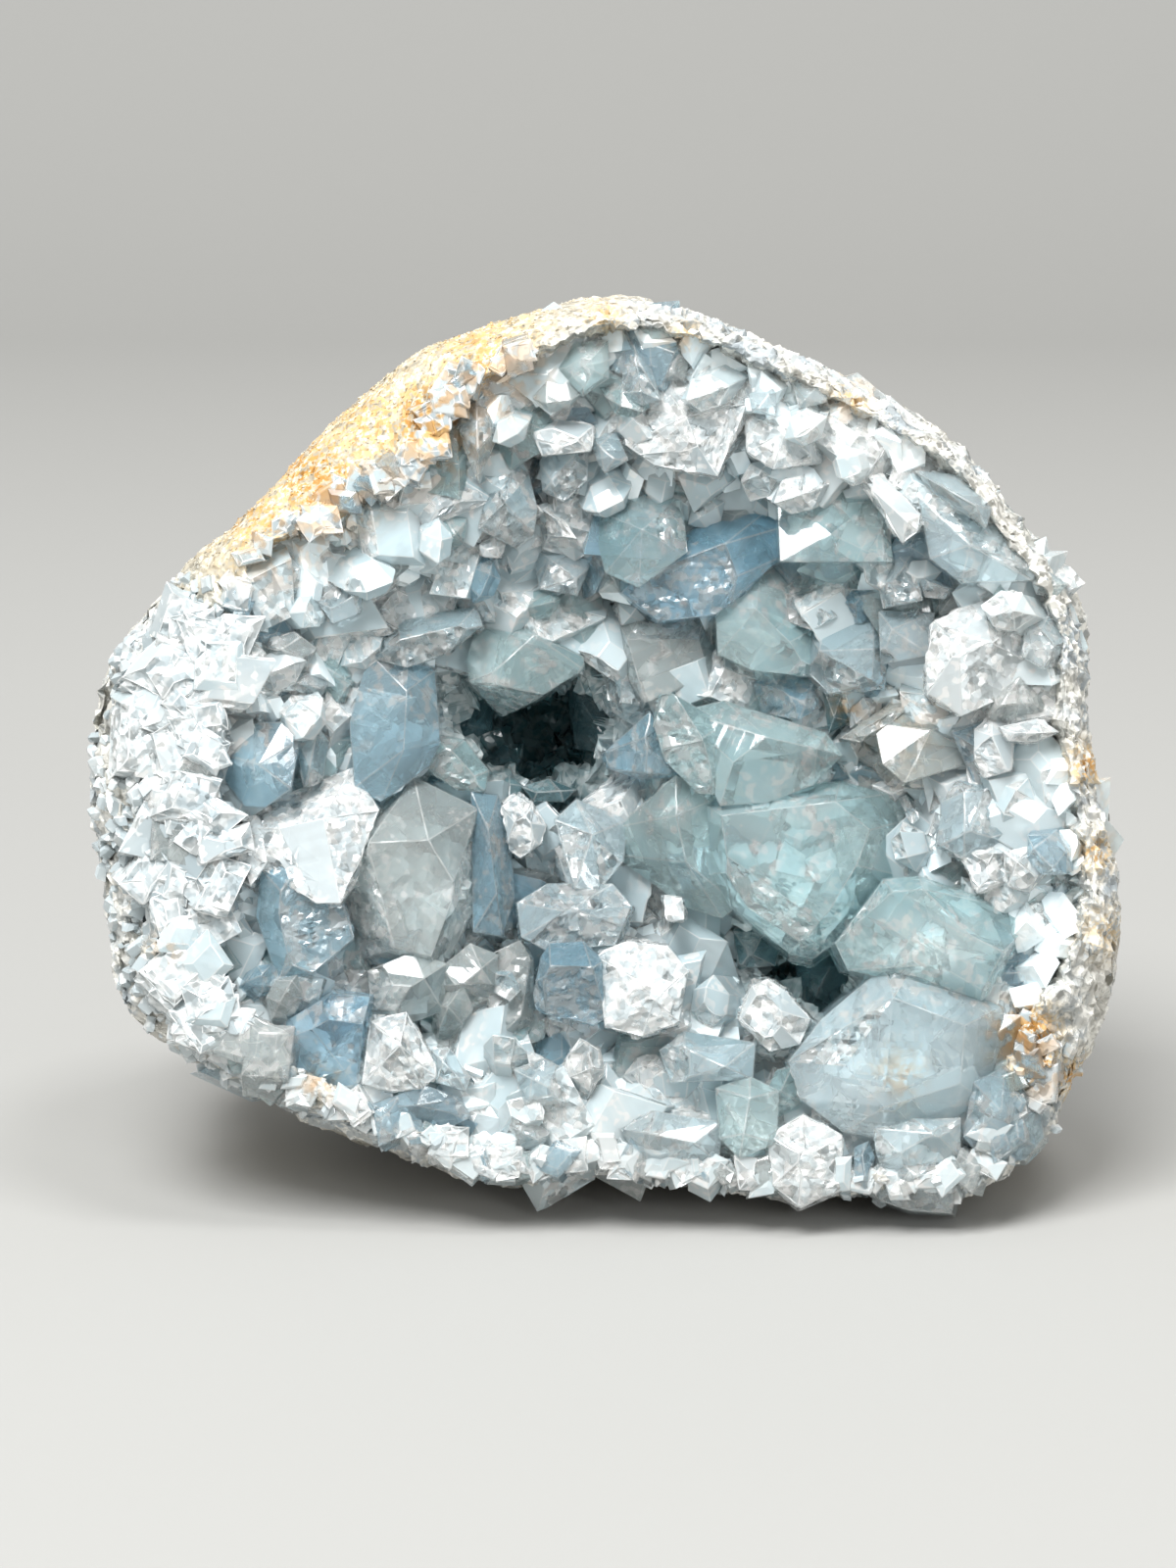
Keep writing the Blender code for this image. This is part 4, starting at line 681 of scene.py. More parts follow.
def druse_places(chance):
    """Places between the large crystals and outside the deep hollows, on a shaken grid."""
    steps = int(PICTURE_WIDTH / DRUSE_SPACING) + 2
    for row in range(-steps, steps):
        for column in range(-steps, steps):
            x = HUB[0] + (column + 0.5 * (row % 2) + chance.uniform(-0.3, 0.3)) * DRUSE_SPACING
            y = HUB[1] + (row + chance.uniform(-0.3, 0.3)) * DRUSE_SPACING * 0.87
            if hub_distance(x, y) > rim_reach(hub_angle(x, y)) * DRUSE_REACH:
                continue
            if any(inside(x, y, widened(mouth, 1.3)) for _, mouth, _ in POCKETS):
                continue
            if any(inside(x, y, crystal[0]) for crystal in CRYSTALS.values()):
                continue
            yield x, y


def druse_points(x, y, chance):
    """Corners of one small crystal: a six-sided prism with a chisel end."""
    base = growing_depth(x, y)
    rise = chance.uniform(*DRUSE_RISE)
    width = chance.uniform(*DRUSE_WIDTH) / UNIT / 2
    inward = DRUSE_INWARD / smooth_stop(OUTLINE_STOPS, 0.0)
    slope = (
        ((HUB[0] - x) * inward + chance.uniform(-0.35, 0.35)) * rise / UNIT,
        ((y - HUB[1]) * inward + chance.uniform(-0.35, 0.35)) * rise / UNIT,
    )
    turn = chance.uniform(0.0, math.pi)
    points = []
    for depth, share, size in ((base + ROOT_BURY, -0.4, 1.1), (base - rise, 1.0, 0.9)):
        for k in range(6):
            way = turn + k * math.pi / 3
            side = width * size * (0.75 if k % 3 else 1.0)
            points.append(
                place(
                    x + slope[0] * share + side * math.cos(way),
                    y - slope[1] * share - side * math.sin(way),
                    depth,
                )
            )
    for side in (-0.45, 0.45):
        points.append(
            place(
                x + slope[0] * 1.3 + side * width * math.cos(turn),
                y - slope[1] * 1.3 - side * width * math.sin(turn),
                base - rise * 1.3,
            )
        )
    return points


def scrambled(cells, seed):
    """Three even random numbers for each whole-numbered cell of space."""
    mixed = (cells[:, 0] * 73856093) ^ (cells[:, 1] * 19349663) ^ (cells[:, 2] * 83492791) ^ (seed * 2654435)
    numbers = []
    for turn in (1, 2, 3):
        value = (mixed * (turn * 2654435761 % 4294967296) + turn * 97531) & 0xFFFFFFFF
        value = ((value >> 15) ^ value) * 2246822519 & 0xFFFFFFFF
        value = ((value >> 13) ^ value) * 3266489917 & 0xFFFFFFFF
        numbers.append(((value >> 16) ^ value) / 4294967296.0)
    return np.stack(numbers, axis=1)


def broken_facets(points, size, seed, tilt, step):
    """Offsets, in metres, of a surface broken into small flat facets, each with its own tilt and level."""
    spots = points / (MM * size)
    base = np.floor(spots).astype(np.int64)
    nearest = np.full(len(points), np.inf)
    middle = np.zeros_like(spots)
    owner = np.zeros_like(base)
    for way in itertools.product((-1, 0, 1), repeat=3):
        cell = base + np.array(way)
        centre = cell + 0.15 + 0.7 * scrambled(cell, seed)
        apart = ((spots - centre) ** 2).sum(axis=1)
        closer = apart < nearest
        nearest[closer] = apart[closer]
        middle[closer] = centre[closer]
        owner[closer] = cell[closer]
    slope = scrambled(owner, seed + 1) - 0.5
    level = scrambled(owner, seed + 2)[:, 0] - 0.5
    return MM * size * (((spots - middle) * slope).sum(axis=1) * tilt + level * step)


def broken_relief(points, layers, first_seed=0):
    """Offsets, in metres, of several layers of small broken facets."""
    return sum(
        broken_facets(points, size, first_seed + seed, tilt, step) for size, seed, tilt, step in layers
    )


def cleavage_steps(points, size, seed, height, levels):
    """Offsets, in metres, of flat steps that a crystal breaks in."""
    spots = points / (MM * size)
    base = np.floor(spots)
    share = spots - base
    share = share * share * (3 - 2 * share)
    total = np.zeros(len(points))
    for way in itertools.product((0, 1), repeat=3):
        value = scrambled((base + np.array(way)).astype(np.int64), seed)[:, 0]
        weight = np.ones(len(points))
        for k in range(3):
            weight *= share[:, k] if way[k] else 1 - share[:, k]
        total += weight * value
    return MM * height * (np.floor(total * levels) / levels - 0.5)


def refined(corners, faces, marks, sides):
    """Triangles split along their sides until none is longer than the kind of its facet allows."""
    for _ in range(7):
        ends = np.concatenate([faces[:, [0, 1]], faces[:, [1, 2]], faces[:, [2, 0]]])
        limit = np.tile(np.array([sides[k] for k in sorted(sides)])[marks[:, 0]], 3) * MM
        ends.sort(axis=1)
        keys, owner = np.unique(ends[:, 0] * len(corners) + ends[:, 1], return_inverse=True)
        pairs = np.stack([keys // len(corners), keys % len(corners)], 1)
        owner = owner.reshape(-1)
        shortest = np.full(len(pairs), np.inf)
        np.minimum.at(shortest, owner, limit)
        length = np.linalg.norm(corners[pairs[:, 0]] - corners[pairs[:, 1]], axis=1)
        long = length > shortest
        if not long.any():
            break
        middle = np.full(len(pairs), -1)
        middle[long] = len(corners) + np.arange(long.sum())
        corners = np.concatenate([corners, (corners[pairs[long, 0]] + corners[pairs[long, 1]]) / 2])
        count = len(faces)
        mids = np.stack([middle[owner[:count]], middle[owner[count:2 * count]], middle[owner[2 * count:]]], 1)
        faces, marks = split_faces(faces, marks, mids)
    return corners, faces, marks


def split_faces(faces, marks, mids):
    """Triangles cut at the new points on their sides."""
    cuts = (mids >= 0).sum(axis=1)
    for _ in range(2):
        turn = ((cuts == 1) & (mids[:, 0] < 0)) | ((cuts == 2) & (mids[:, 2] >= 0))
        faces[turn] = np.roll(faces[turn], -1, axis=1)
        mids[turn] = np.roll(mids[turn], -1, axis=1)
    a, b, c = faces.T
    ab, bc, ca = mids.T
    one, two, three = cuts == 1, cuts == 2, cuts == 3
    parts = [
        (cuts == 0, (a, b, c)),
        (one, (a, ab, c)), (one, (ab, b, c)),
        (two, (ab, b, bc)), (two, (a, ab, bc)), (two, (a, bc, c)),
        (three, (a, ab, ca)), (three, (ab, b, bc)), (three, (ca, bc, c)), (three, (ab, bc, ca)),
    ]
    new_faces = np.concatenate([np.stack([side[mask] for side in sides], 1) for mask, sides in parts])
    return new_faces, np.concatenate([marks[mask] for mask, _ in parts])


def face_normals(corners, faces):
    """Normals of triangles, as long as twice their area."""
    a, b, c = (corners[faces[:, k]] for k in range(3))
    return np.cross(b - a, c - a)


def corner_means(count, faces, values):
    """Mean over the triangles round each corner."""
    total = np.zeros((count,) + values.shape[1:])
    number = np.zeros(count)
    for k in range(3):
        np.add.at(total, faces[:, k], values)
        np.add.at(number, faces[:, k], 1)
    number = np.maximum(number, 1)
    return total / (number if values.ndim == 1 else number[:, None])


def corner_normals(corners, faces):
    """Unit normals at the corners."""
    total = np.zeros_like(corners)
    flat = face_normals(corners, faces)
    for k in range(3):
        np.add.at(total, faces[:, k], flat)
    return total / np.maximum(np.linalg.norm(total, axis=1, keepdims=True), 1e-12)


def mesh_corners(mesh):
    """Corners of a mesh as an array."""
    corners = np.zeros(len(mesh.vertices) * 3, dtype=np.float32)
    mesh.vertices.foreach_get("co", corners)
    return corners.reshape(-1, 3).astype(float)


def shown(made):
    """The object, once it is in the scene."""
    bpy.context.scene.collection.objects.link(made)
    return made


def random_way(chance, deep=1.0):
    """Random direction, less or more front to back than sideways and upwards."""
    return chance.uniform(-1, 1), chance.uniform(-deep, deep), chance.uniform(-1, 1)


def mesh_arrays(mesh):
    """Corners and triangles of a bmesh, with the kind and number of each one's facet; the bmesh is freed."""
    number = mesh.faces.layers.int.new("number")
    kind = mesh.faces.layers.int["kind"]
    for place_in_list, face in enumerate(mesh.faces):
        face[number] = place_in_list
    bmesh.ops.triangulate(mesh, faces=mesh.faces)
    mesh.verts.index_update()
    corners = np.array([vert.co[:] for vert in mesh.verts])
    faces = np.array([[vert.index for vert in face.verts] for face in mesh.faces])
    marks = np.array([[face[kind], face[number]] for face in mesh.faces])
    mesh.free()
    return corners, faces, marks


def object_from(name, corners, faces, face_values=None, corner_values=None):
    """Object from arrays, with numbers kept on its faces and corners as attributes."""
    mesh = bpy.data.meshes.new(name)
    mesh.from_pydata([], [], [])
    mesh.vertices.add(len(corners))
    mesh.vertices.foreach_set("co", np.ascontiguousarray(corners, dtype=np.float32).ravel())
    mesh.loops.add(len(faces) * 3)
    mesh.loops.foreach_set("vertex_index", np.ascontiguousarray(faces, dtype=np.int32).ravel())
    mesh.polygons.add(len(faces))
    mesh.polygons.foreach_set("loop_start", np.arange(0, len(faces) * 3, 3, dtype=np.int32))
    mesh.update(calc_edges=True)
    mesh.shade_flat()
    for domain, values in (("FACE", face_values), ("POINT", corner_values)):
        for key, numbers in (values or {}).items():
            write_values(mesh, key, domain, numbers)
    return bpy.data.objects.new(name, mesh)


def write_values(mesh, key, domain, numbers):
    """Keep numbers or directions on a mesh's faces or corners as an attribute."""
    kind, field = ("FLOAT_VECTOR", "vector") if np.ndim(numbers) == 2 else ("FLOAT", "value")
    kept = mesh.attributes.get(key) or mesh.attributes.new(key, kind, domain)
    kept.data.foreach_set(field, np.ascontiguousarray(numbers, dtype=np.float32).ravel())


def convex_mesh(points):
    """Flat-faced closed bmesh round some points, with a layer for the kinds of its facets."""
    mesh = bmesh.new()
    layer = mesh.faces.layers.int.new("kind")
    for point in points:
        mesh.verts.new(point)
    made = bmesh.ops.convex_hull(mesh, input=mesh.verts)
    loose = {item for key in ("geom_interior", "geom_unused") for item in made[key]}
    bmesh.ops.delete(mesh, geom=[v for v in loose if isinstance(v, bmesh.types.BMVert)], context="VERTS")
    bmesh.ops.dissolve_limit(mesh, angle_limit=math.radians(FLATNESS), verts=mesh.verts, edges=mesh.edges)
    bmesh.ops.recalc_face_normals(mesh, faces=mesh.faces)
    return mesh, layer


def chip_corner(mesh, layer, chance, depth):
    """Break one of the front corners off a convex bmesh."""
    by_depth = sorted(mesh.verts, key=lambda vert: vert.co.y)
    corner = chance.choice(by_depth[: max(3, len(by_depth) // 2)]).co.copy()
    middle = mean_point([vert.co for vert in mesh.verts])
    way = ((corner - middle).normalized() + 0.45 * Vector(random_way(chance))).normalized()
    everything = mesh.verts[:] + mesh.edges[:] + mesh.faces[:]
    spot = corner - (corner - middle).normalized() * depth
    cut = bmesh.ops.bisect_plane(mesh, geom=everything, plane_co=spot, plane_no=way, clear_outer=True)
    rim = [item for item in cut["geom_cut"] if isinstance(item, bmesh.types.BMEdge)]
    if rim:
        for face in bmesh.ops.contextual_create(mesh, geom=rim)["faces"]:
            face[layer] = BROKEN


def crystal_object(name, points, chance, tint, edge_width, chips, sides=FACET_SIDE):
    """One crystal with flat, broken and worn facets, as an object with its finish on its faces."""
    mesh, layer = convex_mesh(points)
    share = BROKEN_SHARE[tint]
    for face in mesh.faces:
        face[layer] = BROKEN if chance.random() < share else CLEAN
    for _ in range(chips):
        chip_corner(mesh, layer, chance, MM * chance.uniform(0.3, 1.3))
    bmesh.ops.remove_doubles(mesh, verts=mesh.verts, dist=MM * edge_width * 1.5)
    blunt = [edge for edge in mesh.edges if edge.calc_face_angle(0.0) > math.radians(BLUNT_EDGE)]
    worn = bmesh.ops.bevel(
        mesh, geom=blunt, offset=MM * edge_width, offset_type="OFFSET", segments=1,
        affect="EDGES", clamp_overlap=True)
    for face in worn["faces"]:
        face[layer] = EDGE
    bmesh.ops.recalc_face_normals(mesh, faces=mesh.faces)
    corners, faces, marks = mesh_arrays(mesh)
    x, y, depth = picture_places(corners[faces].mean(axis=1))
    surface = np.array([rim_depth(*spot) for spot in zip(x, y)])
    marks[depth > surface + BURIED_DEPTH, 0] = BURIED
    corners, faces, marks = refined(corners, faces, marks, sides)
    kinds = marks[:, 0]
    rough = np.where(kinds == BROKEN, 1.0, np.where(kinds == EDGE, 0.15, 0.0))
    strength = corner_means(len(corners), faces, rough)
    seed = chance.randrange(1000)
    relief = broken_relief(corners, CRYSTAL_RELIEF, seed)
    step_size, step_seed, height, levels = CRYSTAL_STEPS
    relief += cleavage_steps(corners, step_size, seed + step_seed, height, levels)
    corners = kept_in_box(corners + corner_normals(corners, faces) * (relief * strength)[:, None])
    count = len(faces)
    shades = np.array([chance.random() for _ in range(marks[:, 1].max() + 1)])
    axis = np.array(random_way(chance, 0.4))
    axis /= np.linalg.norm(axis)
    values = {
        "broken": (kinds == BROKEN).astype(float),
        "worn_edge": (kinds == EDGE).astype(float),
        "tone": np.full(count, chance.random()),
        "facet": shades[marks[:, 1]],
        "axis": np.tile(axis, (count, 1)),
    }
    return object_from(name, corners, faces, values)


def fused(name, solids):
    """One closed object from several that overlap, which are removed."""
    body = shown(solids[0])
    others = bpy.data.collections.new(name + "_parts")
    bpy.context.scene.collection.children.link(others)
    for solid in solids[1:]:
        others.objects.link(solid)
    if len(solids) > 1:
        union = body.modifiers.new("grown_together", "BOOLEAN")
        union.operation = "UNION"
        union.operand_type = "COLLECTION"
        union.collection = others
        union.solver = "MANIFOLD"
    graph = bpy.context.evaluated_depsgraph_get()
    mesh = bpy.data.meshes.new_from_object(body.evaluated_get(graph))
    for solid in solids:
        data = solid.data
        bpy.data.objects.remove(solid)
        bpy.data.meshes.remove(data)
    bpy.data.collections.remove(others)
    mesh.name = name
    return shown(bpy.data.objects.new(name, mesh))


def tint_of(name):
    """Tint that a large crystal has."""
    return next((tint for tint, names in TINTS.items() if name in names), "pale")


def picked_tint(chance, tints):
    """One of the tints, each as likely as its number says."""
    return chance.choices(list(tints), list(tints.values()))[0]


def crystals_by_tint():
    """Every crystal as an object, sorted by tint."""
    chance = random.Random(5)
    sorted_out = {tint: [] for tint in BROKEN_SHARE}
    for name, (outline, depth, lean, tips) in CRYSTALS.items():
        tint = tint_of(name)
        points = crystal_points(widened(outline, CRYSTAL_GROWTH), depth, lean, tips)
        edge_width, chips = chance.uniform(0.09, 0.18), chance.randint(0, 2)
        sorted_out[tint].append(
            crystal_object(name, points, chance, tint, edge_width, chips, LARGE_FACET_SIDE))
    places = random.Random(DRUSE_SEED)
    for number, (x, y) in enumerate(list(druse_places(places))):
        points = druse_points(x, y, places)
        tint = picked_tint(chance, DRUSE_TINTS)
        sorted_out[tint].append(
            crystal_object(f"druse_{number}", points, chance, tint, 0.12, chance.randint(0, 1)))
    for number, (x, y, widths, rises, tints) in enumerate(list(rim_places(chance))):
        points = rim_crystal_points(x, y, widths, rises, chance)
        tint = picked_tint(chance, tints)
        sorted_out[tint].append(crystal_object(f"rim_{number}", points, chance, tint, 0.10, 0))
    return sorted_out


def rim_places(chance):
    """Places of smaller crystals: along the rim, on the broken wall, by the rind and between the large ones.

    Each comes with its range of widths in millimetres, its range of rises as a share of the width, and how
    likely each tint is.
    """
    for number in range(RIM_CRYSTALS):
        angle = 360.0 * (number + chance.uniform(-JITTER, JITTER)) / RIM_CRYSTALS
        share = smooth_stop(CREST_REACH, angle) * chance.uniform(*RIM_REACH)
        yield *ray_place(angle, share), (3.0, 6.5), (0.25, 0.6), FILLER_TINTS
    for _ in range(WALL_CRYSTALS):
        angle = chance.uniform(*WALL_ANGLES)
        crest = smooth_stop(CREST_REACH, angle)
        share = crest + (WALL_REACH - crest) * chance.random()
        yield *ray_place(angle, share), (3.0, 8.5), (0.10, 0.28), WALL_TINTS
    for _ in range(COLLAR_CRYSTALS):
        angle = chance.uniform(*RIND_ANGLES)
        share = min(COLLAR_LIMIT, smooth_stop(CREST_REACH, angle) * chance.uniform(*COLLAR_REACH))
        yield *ray_place(angle, share), (2.2, 5.0), (0.10, 0.26), WALL_TINTS
    first, last = BOTTOM_ANGLES
    for number in range(BOTTOM_CRYSTALS):
        angle = first + (last - first) * (number + chance.uniform(-JITTER, JITTER)) / BOTTOM_CRYSTALS
        crest = smooth_stop(CREST_REACH, angle)
        share = crest + (BOTTOM_REACH - crest) * chance.random()
        yield *ray_place(angle, share), (2.2, 5.5), (0.10, 0.28), FILLER_TINTS
    kept_clear = [widened(mouth, 1.4) for _, mouth, _ in POCKETS]
    kept_clear += [widened(crystal[0], 0.8) for crystal in CRYSTALS.values()]
    for _ in range(FILLER_CRYSTALS):
        x, y = (chance.uniform(*field) for field in FILLER_FIELD)
        out = hub_distance(x, y) / rim_reach(hub_angle(x, y))
        if out > FILLER_REACH or any(inside(x, y, shape) for shape in kept_clear):
            continue
        low = 1.15 - 0.75 * out
        yield x, y, (5.0, 13.0), (0.36 * low, 0.95 * low), FILLER_TINTS


def block_corners(chance):
    """Corners (across, along, up) of a slanting block about one unit wide and high, with its root below 0."""
    flat = chance.uniform(0.5, 0.95)
    skew = chance.uniform(-0.4, 0.4)
    top = chance.uniform(0.15, 0.85)
    slope = (chance.uniform(-0.7, 0.7), chance.uniform(-0.7, 0.7))
    shift = (chance.uniform(-0.15, 0.15), chance.uniform(-0.15, 0.15))
    corners = []
    for up, size in ((-0.6, 1.1), (0.55, 1.0), (1.0, top)):
        for across, along in ((-0.5, -0.5), (0.5, -0.5), (0.5, 0.5), (-0.5, 0.5)):
            along *= flat
            high = up + (slope[0] * across + slope[1] * along) * size * (up > 0)
            corners.append((
                (across + skew * along) * size + shift[0] * up, along * size + shift[1] * up, high))
    return corners


def rim_crystal_points(x, y, widths, rises, chance):
    """Corners of a smaller crystal: a slanting block that leans into the hollow."""
    base = rim_depth(x, y)
    width = chance.uniform(*widths)
    rise = width * chance.uniform(*rises)
    lean_x = (HUB[0] - x) * SMALL_INWARD + chance.uniform(-0.5, 0.5)
    lean_y = (HUB[1] - y) * SMALL_INWARD + chance.uniform(-0.5, 0.5)
    turn = chance.uniform(0.0, math.pi)
    points = []
    for across, along, up in block_corners(chance):
        right = (across * math.cos(turn) - along * math.sin(turn)) * width + lean_x * up * rise
        down = (across * math.sin(turn) + along * math.cos(turn)) * width + lean_y * up * rise
        behind = base - up * rise if up > 0 else base + SMALL_BURY
        points.append(place(x + right / UNIT, y + down / UNIT, behind))
    return points


def picture_places(points):
    """Picture x, y and depth of world points, the reverse of place()."""
    spots = points / MM - np.array(SHIFT)
    tilt = math.radians(FACE_TILT)
    up = spots[:, 1] * math.sin(tilt) + spots[:, 2] * math.cos(tilt)
    depth = spots[:, 1] * math.cos(tilt) - spots[:, 2] * math.sin(tilt)
    spread = UNIT * (1 + depth / VIEW_DISTANCE)
    return PICTURE_CENTRE[0] + spots[:, 0] / spread, PICTURE_CENTRE[1] - up / spread, depth


def loft_arrays(rings, first_pole, last_pole):
    """Corners and triangles of a closed skin through rings of points."""
    around = len(rings[0])
    points = list(itertools.chain(*rings)) + [first_pole, last_pole]
    corners = np.array([tuple(point) for point in points])
    step = np.arange(around)
    after = (step + 1) % around
    faces = []
    for row in range(len(rings) - 1):
        here, there = row * around, (row + 1) * around
        faces.append(np.stack([here + step, there + step, there + after], 1))
        faces.append(np.stack([here + step, there + after, here + after], 1))
    first = np.full(around, len(corners) - 2)
    last = np.full(around, len(corners) - 1)
    end = (len(rings) - 1) * around
    faces.append(np.stack([first, step, after], 1))
    faces.append(np.stack([last, end + after, end + step], 1))
    return corners, np.concatenate(faces)


def outwards(corners, faces):
    """Triangles turned so that a closed skin faces out."""
    a, b, c = (corners[faces[:, k]] for k in range(3))
    volume = (np.cross(a, b) * c).sum()
    return faces if volume > 0 else faces[:, ::-1].copy()


def kept_in_box(corners):
    """Points eased back inside the box of the solids, and above the plane it rests on."""
    low, high = (np.array(corner) for corner in CAD_BOX)
    ease = MM * EDGE_EASE
    eased = corners.copy()
    for k in range(3):
        over = corners[:, k] - (high[k] - ease)
        eased[:, k] = np.where(over > 0, high[k] - ease * np.exp(-over / ease), eased[:, k])
        if k < 2:
            under = (low[k] + ease) - corners[:, k]
            eased[:, k] = np.where(under > 0, low[k] + ease * np.exp(-under / ease), eased[:, k])
    eased[:, 2] = np.maximum(eased[:, 2], 0.0)
    return eased


def rind_share(angle):
    """1 where the smooth outer rind turns over the rim at the upper left, falling to 0 beside it."""
    return min(1.0, max(0.0, min(angle - RIND_ANGLES[0], RIND_ANGLES[1] - angle) / 6.0))


def ring_steps(count):
    """Angles from 90 degrees down to 0, in so many even steps."""
    return [90.0 * (1 - step / count) for step in range(1, count + 1)]


def hollow_rings(angles):
    """Rings of the inside of the wall, from the rim to the bottom of the bowl."""
    rises = [90.0 * step / (HOLLOW_RINGS + 1) for step in range(1, HOLLOW_RINGS + 1)]
    return [[hollow_point(angle, rise) for angle in angles] for rise in rises]


def make_wall():
    """The wall: the lumpy outside, the broken rim with its ledges, and the bowl behind the crystals."""
    angles = [360.0 * k / AROUND for k in range(AROUND)]
    hub = place(*HUB, GIRTH_DEPTH)
    backward = (place(*HUB, 10.0) - place(*HUB, 0.0)).normalized()

    def outside(angle, rise):
        point = back_point(angle, rise)
        outward = (point - hub).normalized()
        return point + outward * outside_relief(point) * min(1.0, 0.15 + rise / 40.0)

    def broken_rim(angle, rise):
        point = band_point(angle, rise)
        return point + backward * (ledge_relief(point, angle) * (1 - rind_share(angle)))

    rings = [[outside(angle, rise) for angle in angles] for rise in ring_steps(BACK_RINGS)]
    rings += [[broken_rim(angle, rise) for angle in angles] for rise in ring_steps(BAND_RINGS)]
    rings += hollow_rings(angles)
    poles = place(*HUB, GEODE_DEPTH), place(*HUB, GEODE_DEPTH - WALL_BACK)
    corners, faces = loft_arrays(rings, *poles)
    faces = outwards(corners, faces)
    normals = corner_normals(corners, faces)
    x, y, depth = picture_places(corners)
    broad = np.clip((GIRTH_DEPTH + 8 - depth) / 8, 0.45, 1.0) * (1 - 0.85 * rind_cover(x, y, depth))
    pole = np.hypot(x - HUB[0], y - HUB[1]) / smooth_stop(OUTLINE_STOPS, 0.0)
    pole = np.where(depth > GIRTH_DEPTH, np.clip(pole * 4 - 0.4, 0, 1), 1.0)
    relief = broken_relief(corners, WALL_RELIEF) * broad
    relief += broken_facets(corners, *WALL_FINE_RELIEF) * WALL_FINE_SHARE
    corners = kept_in_box(corners + normals * (relief * pole)[:, None])
    return shown(object_from("matrix_wall", corners, faces))


def lining_ring(angles, share):
    """Ring of the crystals' growing surface, at a share of the rim's reach."""
    ring = []
    for angle in angles:
        x, y = ray_place(angle, (smooth_stop(CREST_REACH, angle) - LINING_INSET) * share)
        point = place(x, y, growing_depth(x, y))
        uneven = lumps(point, KNOB_SIZE, 2 * KNOB_HEIGHT) * (share < 1)
        ring.append(point + Vector((0.0, uneven, 0.0)))
    return ring


def make_lining():
    """Milky layer that the crystals grow from, with the deep hollows in it."""
    angles = [360.0 * k / LINING_AROUND for k in range(LINING_AROUND)]
    rings = [lining_ring(angles, step / LINING_RINGS) for step in range(1, LINING_RINGS + 1)]
    rings += hollow_rings(angles)
    poles = place(*HUB, growing_depth(*HUB)), place(*HUB, GEODE_DEPTH - WALL_BACK - 1)
    corners, faces = loft_arrays(rings, *poles)
    layer = shown(object_from("lining_blank", corners, outwards(corners, faces)))
    helpers = [layer]
    for name, mouth, bottom in POCKETS:
        mesh, _ = convex_mesh(pocket_points(mouth, bottom))
        data = bpy.data.meshes.new(name)
        mesh.to_mesh(data)
        mesh.free()
        helpers.append(shown(bpy.data.objects.new(name, data)))
        hollow = layer.modifiers.new(name, "BOOLEAN")
        hollow.operation = "DIFFERENCE"
        hollow.solver = "MANIFOLD"
        hollow.object = helpers[-1]
    mesh = bmesh.new()
    mesh.from_object(layer, bpy.context.evaluated_depsgraph_get())
    mesh.faces.layers.int.new("kind")
    for helper in helpers:
        bpy.data.objects.remove(helper)
    corners, faces, marks = mesh_arrays(mesh)
    forward = np.array((place(*HUB, 0.0) - place(*HUB, 10.0)).normalized())
    flat = face_normals(corners, faces)
    facing = (flat @ forward) / np.maximum(np.linalg.norm(flat, axis=1), 1e-12)
    marks[:, 0] = facing > 0.02
    corners, faces, marks = refined(corners, faces, marks, {0: 40.0, 1: LINING_FACET})
    strength = corner_means(len(corners), faces, marks[:, 0].astype(float))
    relief = broken_relief(corners, LINING_RELIEF)
    corners = corners + corner_normals(corners, faces) * (relief * strength)[:, None]
    tones = scrambled(np.floor(corners[faces[:, 0]] / (MM * 4)).astype(np.int64), 9)
    count = len(faces)
    return shown(object_from("crystal_lining", corners, faces, {
        "broken": np.full(count, 0.6),
        "worn_edge": np.zeros(count),
        "tone": tones[:, 0],
        "facet": tones[:, 1],
        "axis": np.tile(np.array([1.0, 0.0, 0.0]), (count, 1)),
    }))


def pocket_points(mouth, bottom):
    """Corners of a deep hollow, narrowing towards its bottom."""
    return [
        place(x, y, depth)
        for depth, share in ((-5.0, 1.35), (bottom * 0.5, 1.0), (bottom, 0.5))
        for x, y in widened(mouth, share)
    ]


def seed_collection(name, makers):
    """Collection of the small shapes that a surface is strewn with."""
    seeds = bpy.data.collections.new(name)
    bpy.context.scene.collection.children.link(seeds)
    for made in makers:
        seeds.objects.link(made)
    return seeds


def small_crystal_seed(number, chance):
    """A low slanting block about one unit wide, rooted at the origin."""
    height = chance.uniform(0.3, 0.75)
    points = [(across, along, up * height) for across, along, up in block_corners(chance)]
    return seed_object(f"crystal_seed_{number}", points, chance)


def grain_seed(number, chance):
    """An angular grain about one unit across."""
    points = []
    for _ in range(9):
        way = Vector((chance.gauss(0, 1), chance.gauss(0, 1), chance.gauss(0, 1))).normalized()
        points.append(Vector((way.x * 0.5, way.y * 0.40, way.z * 0.24)))
    return seed_object(f"grain_seed_{number}", points, chance)


def seed_object(name, points, chance):
    """Small flat-faced shape with the kinds of its facets kept on it."""
    mesh, layer = convex_mesh(points)
    for face in mesh.faces:
        face[layer] = BROKEN if chance.random() < 0.3 else CLEAN
    corners, faces, marks = mesh_arrays(mesh)
    shades = np.array([chance.random() for _ in range(marks[:, 1].max() + 1)])
    axis = np.array([random_way(chance)])
    return object_from(name, corners, faces, {
        "broken": (marks[:, 0] == BROKEN).astype(float),
        "facet": shades[marks[:, 1]],
        "worn_edge": np.zeros(len(faces)),
        "axis": np.repeat(axis, len(faces), axis=0),
    })


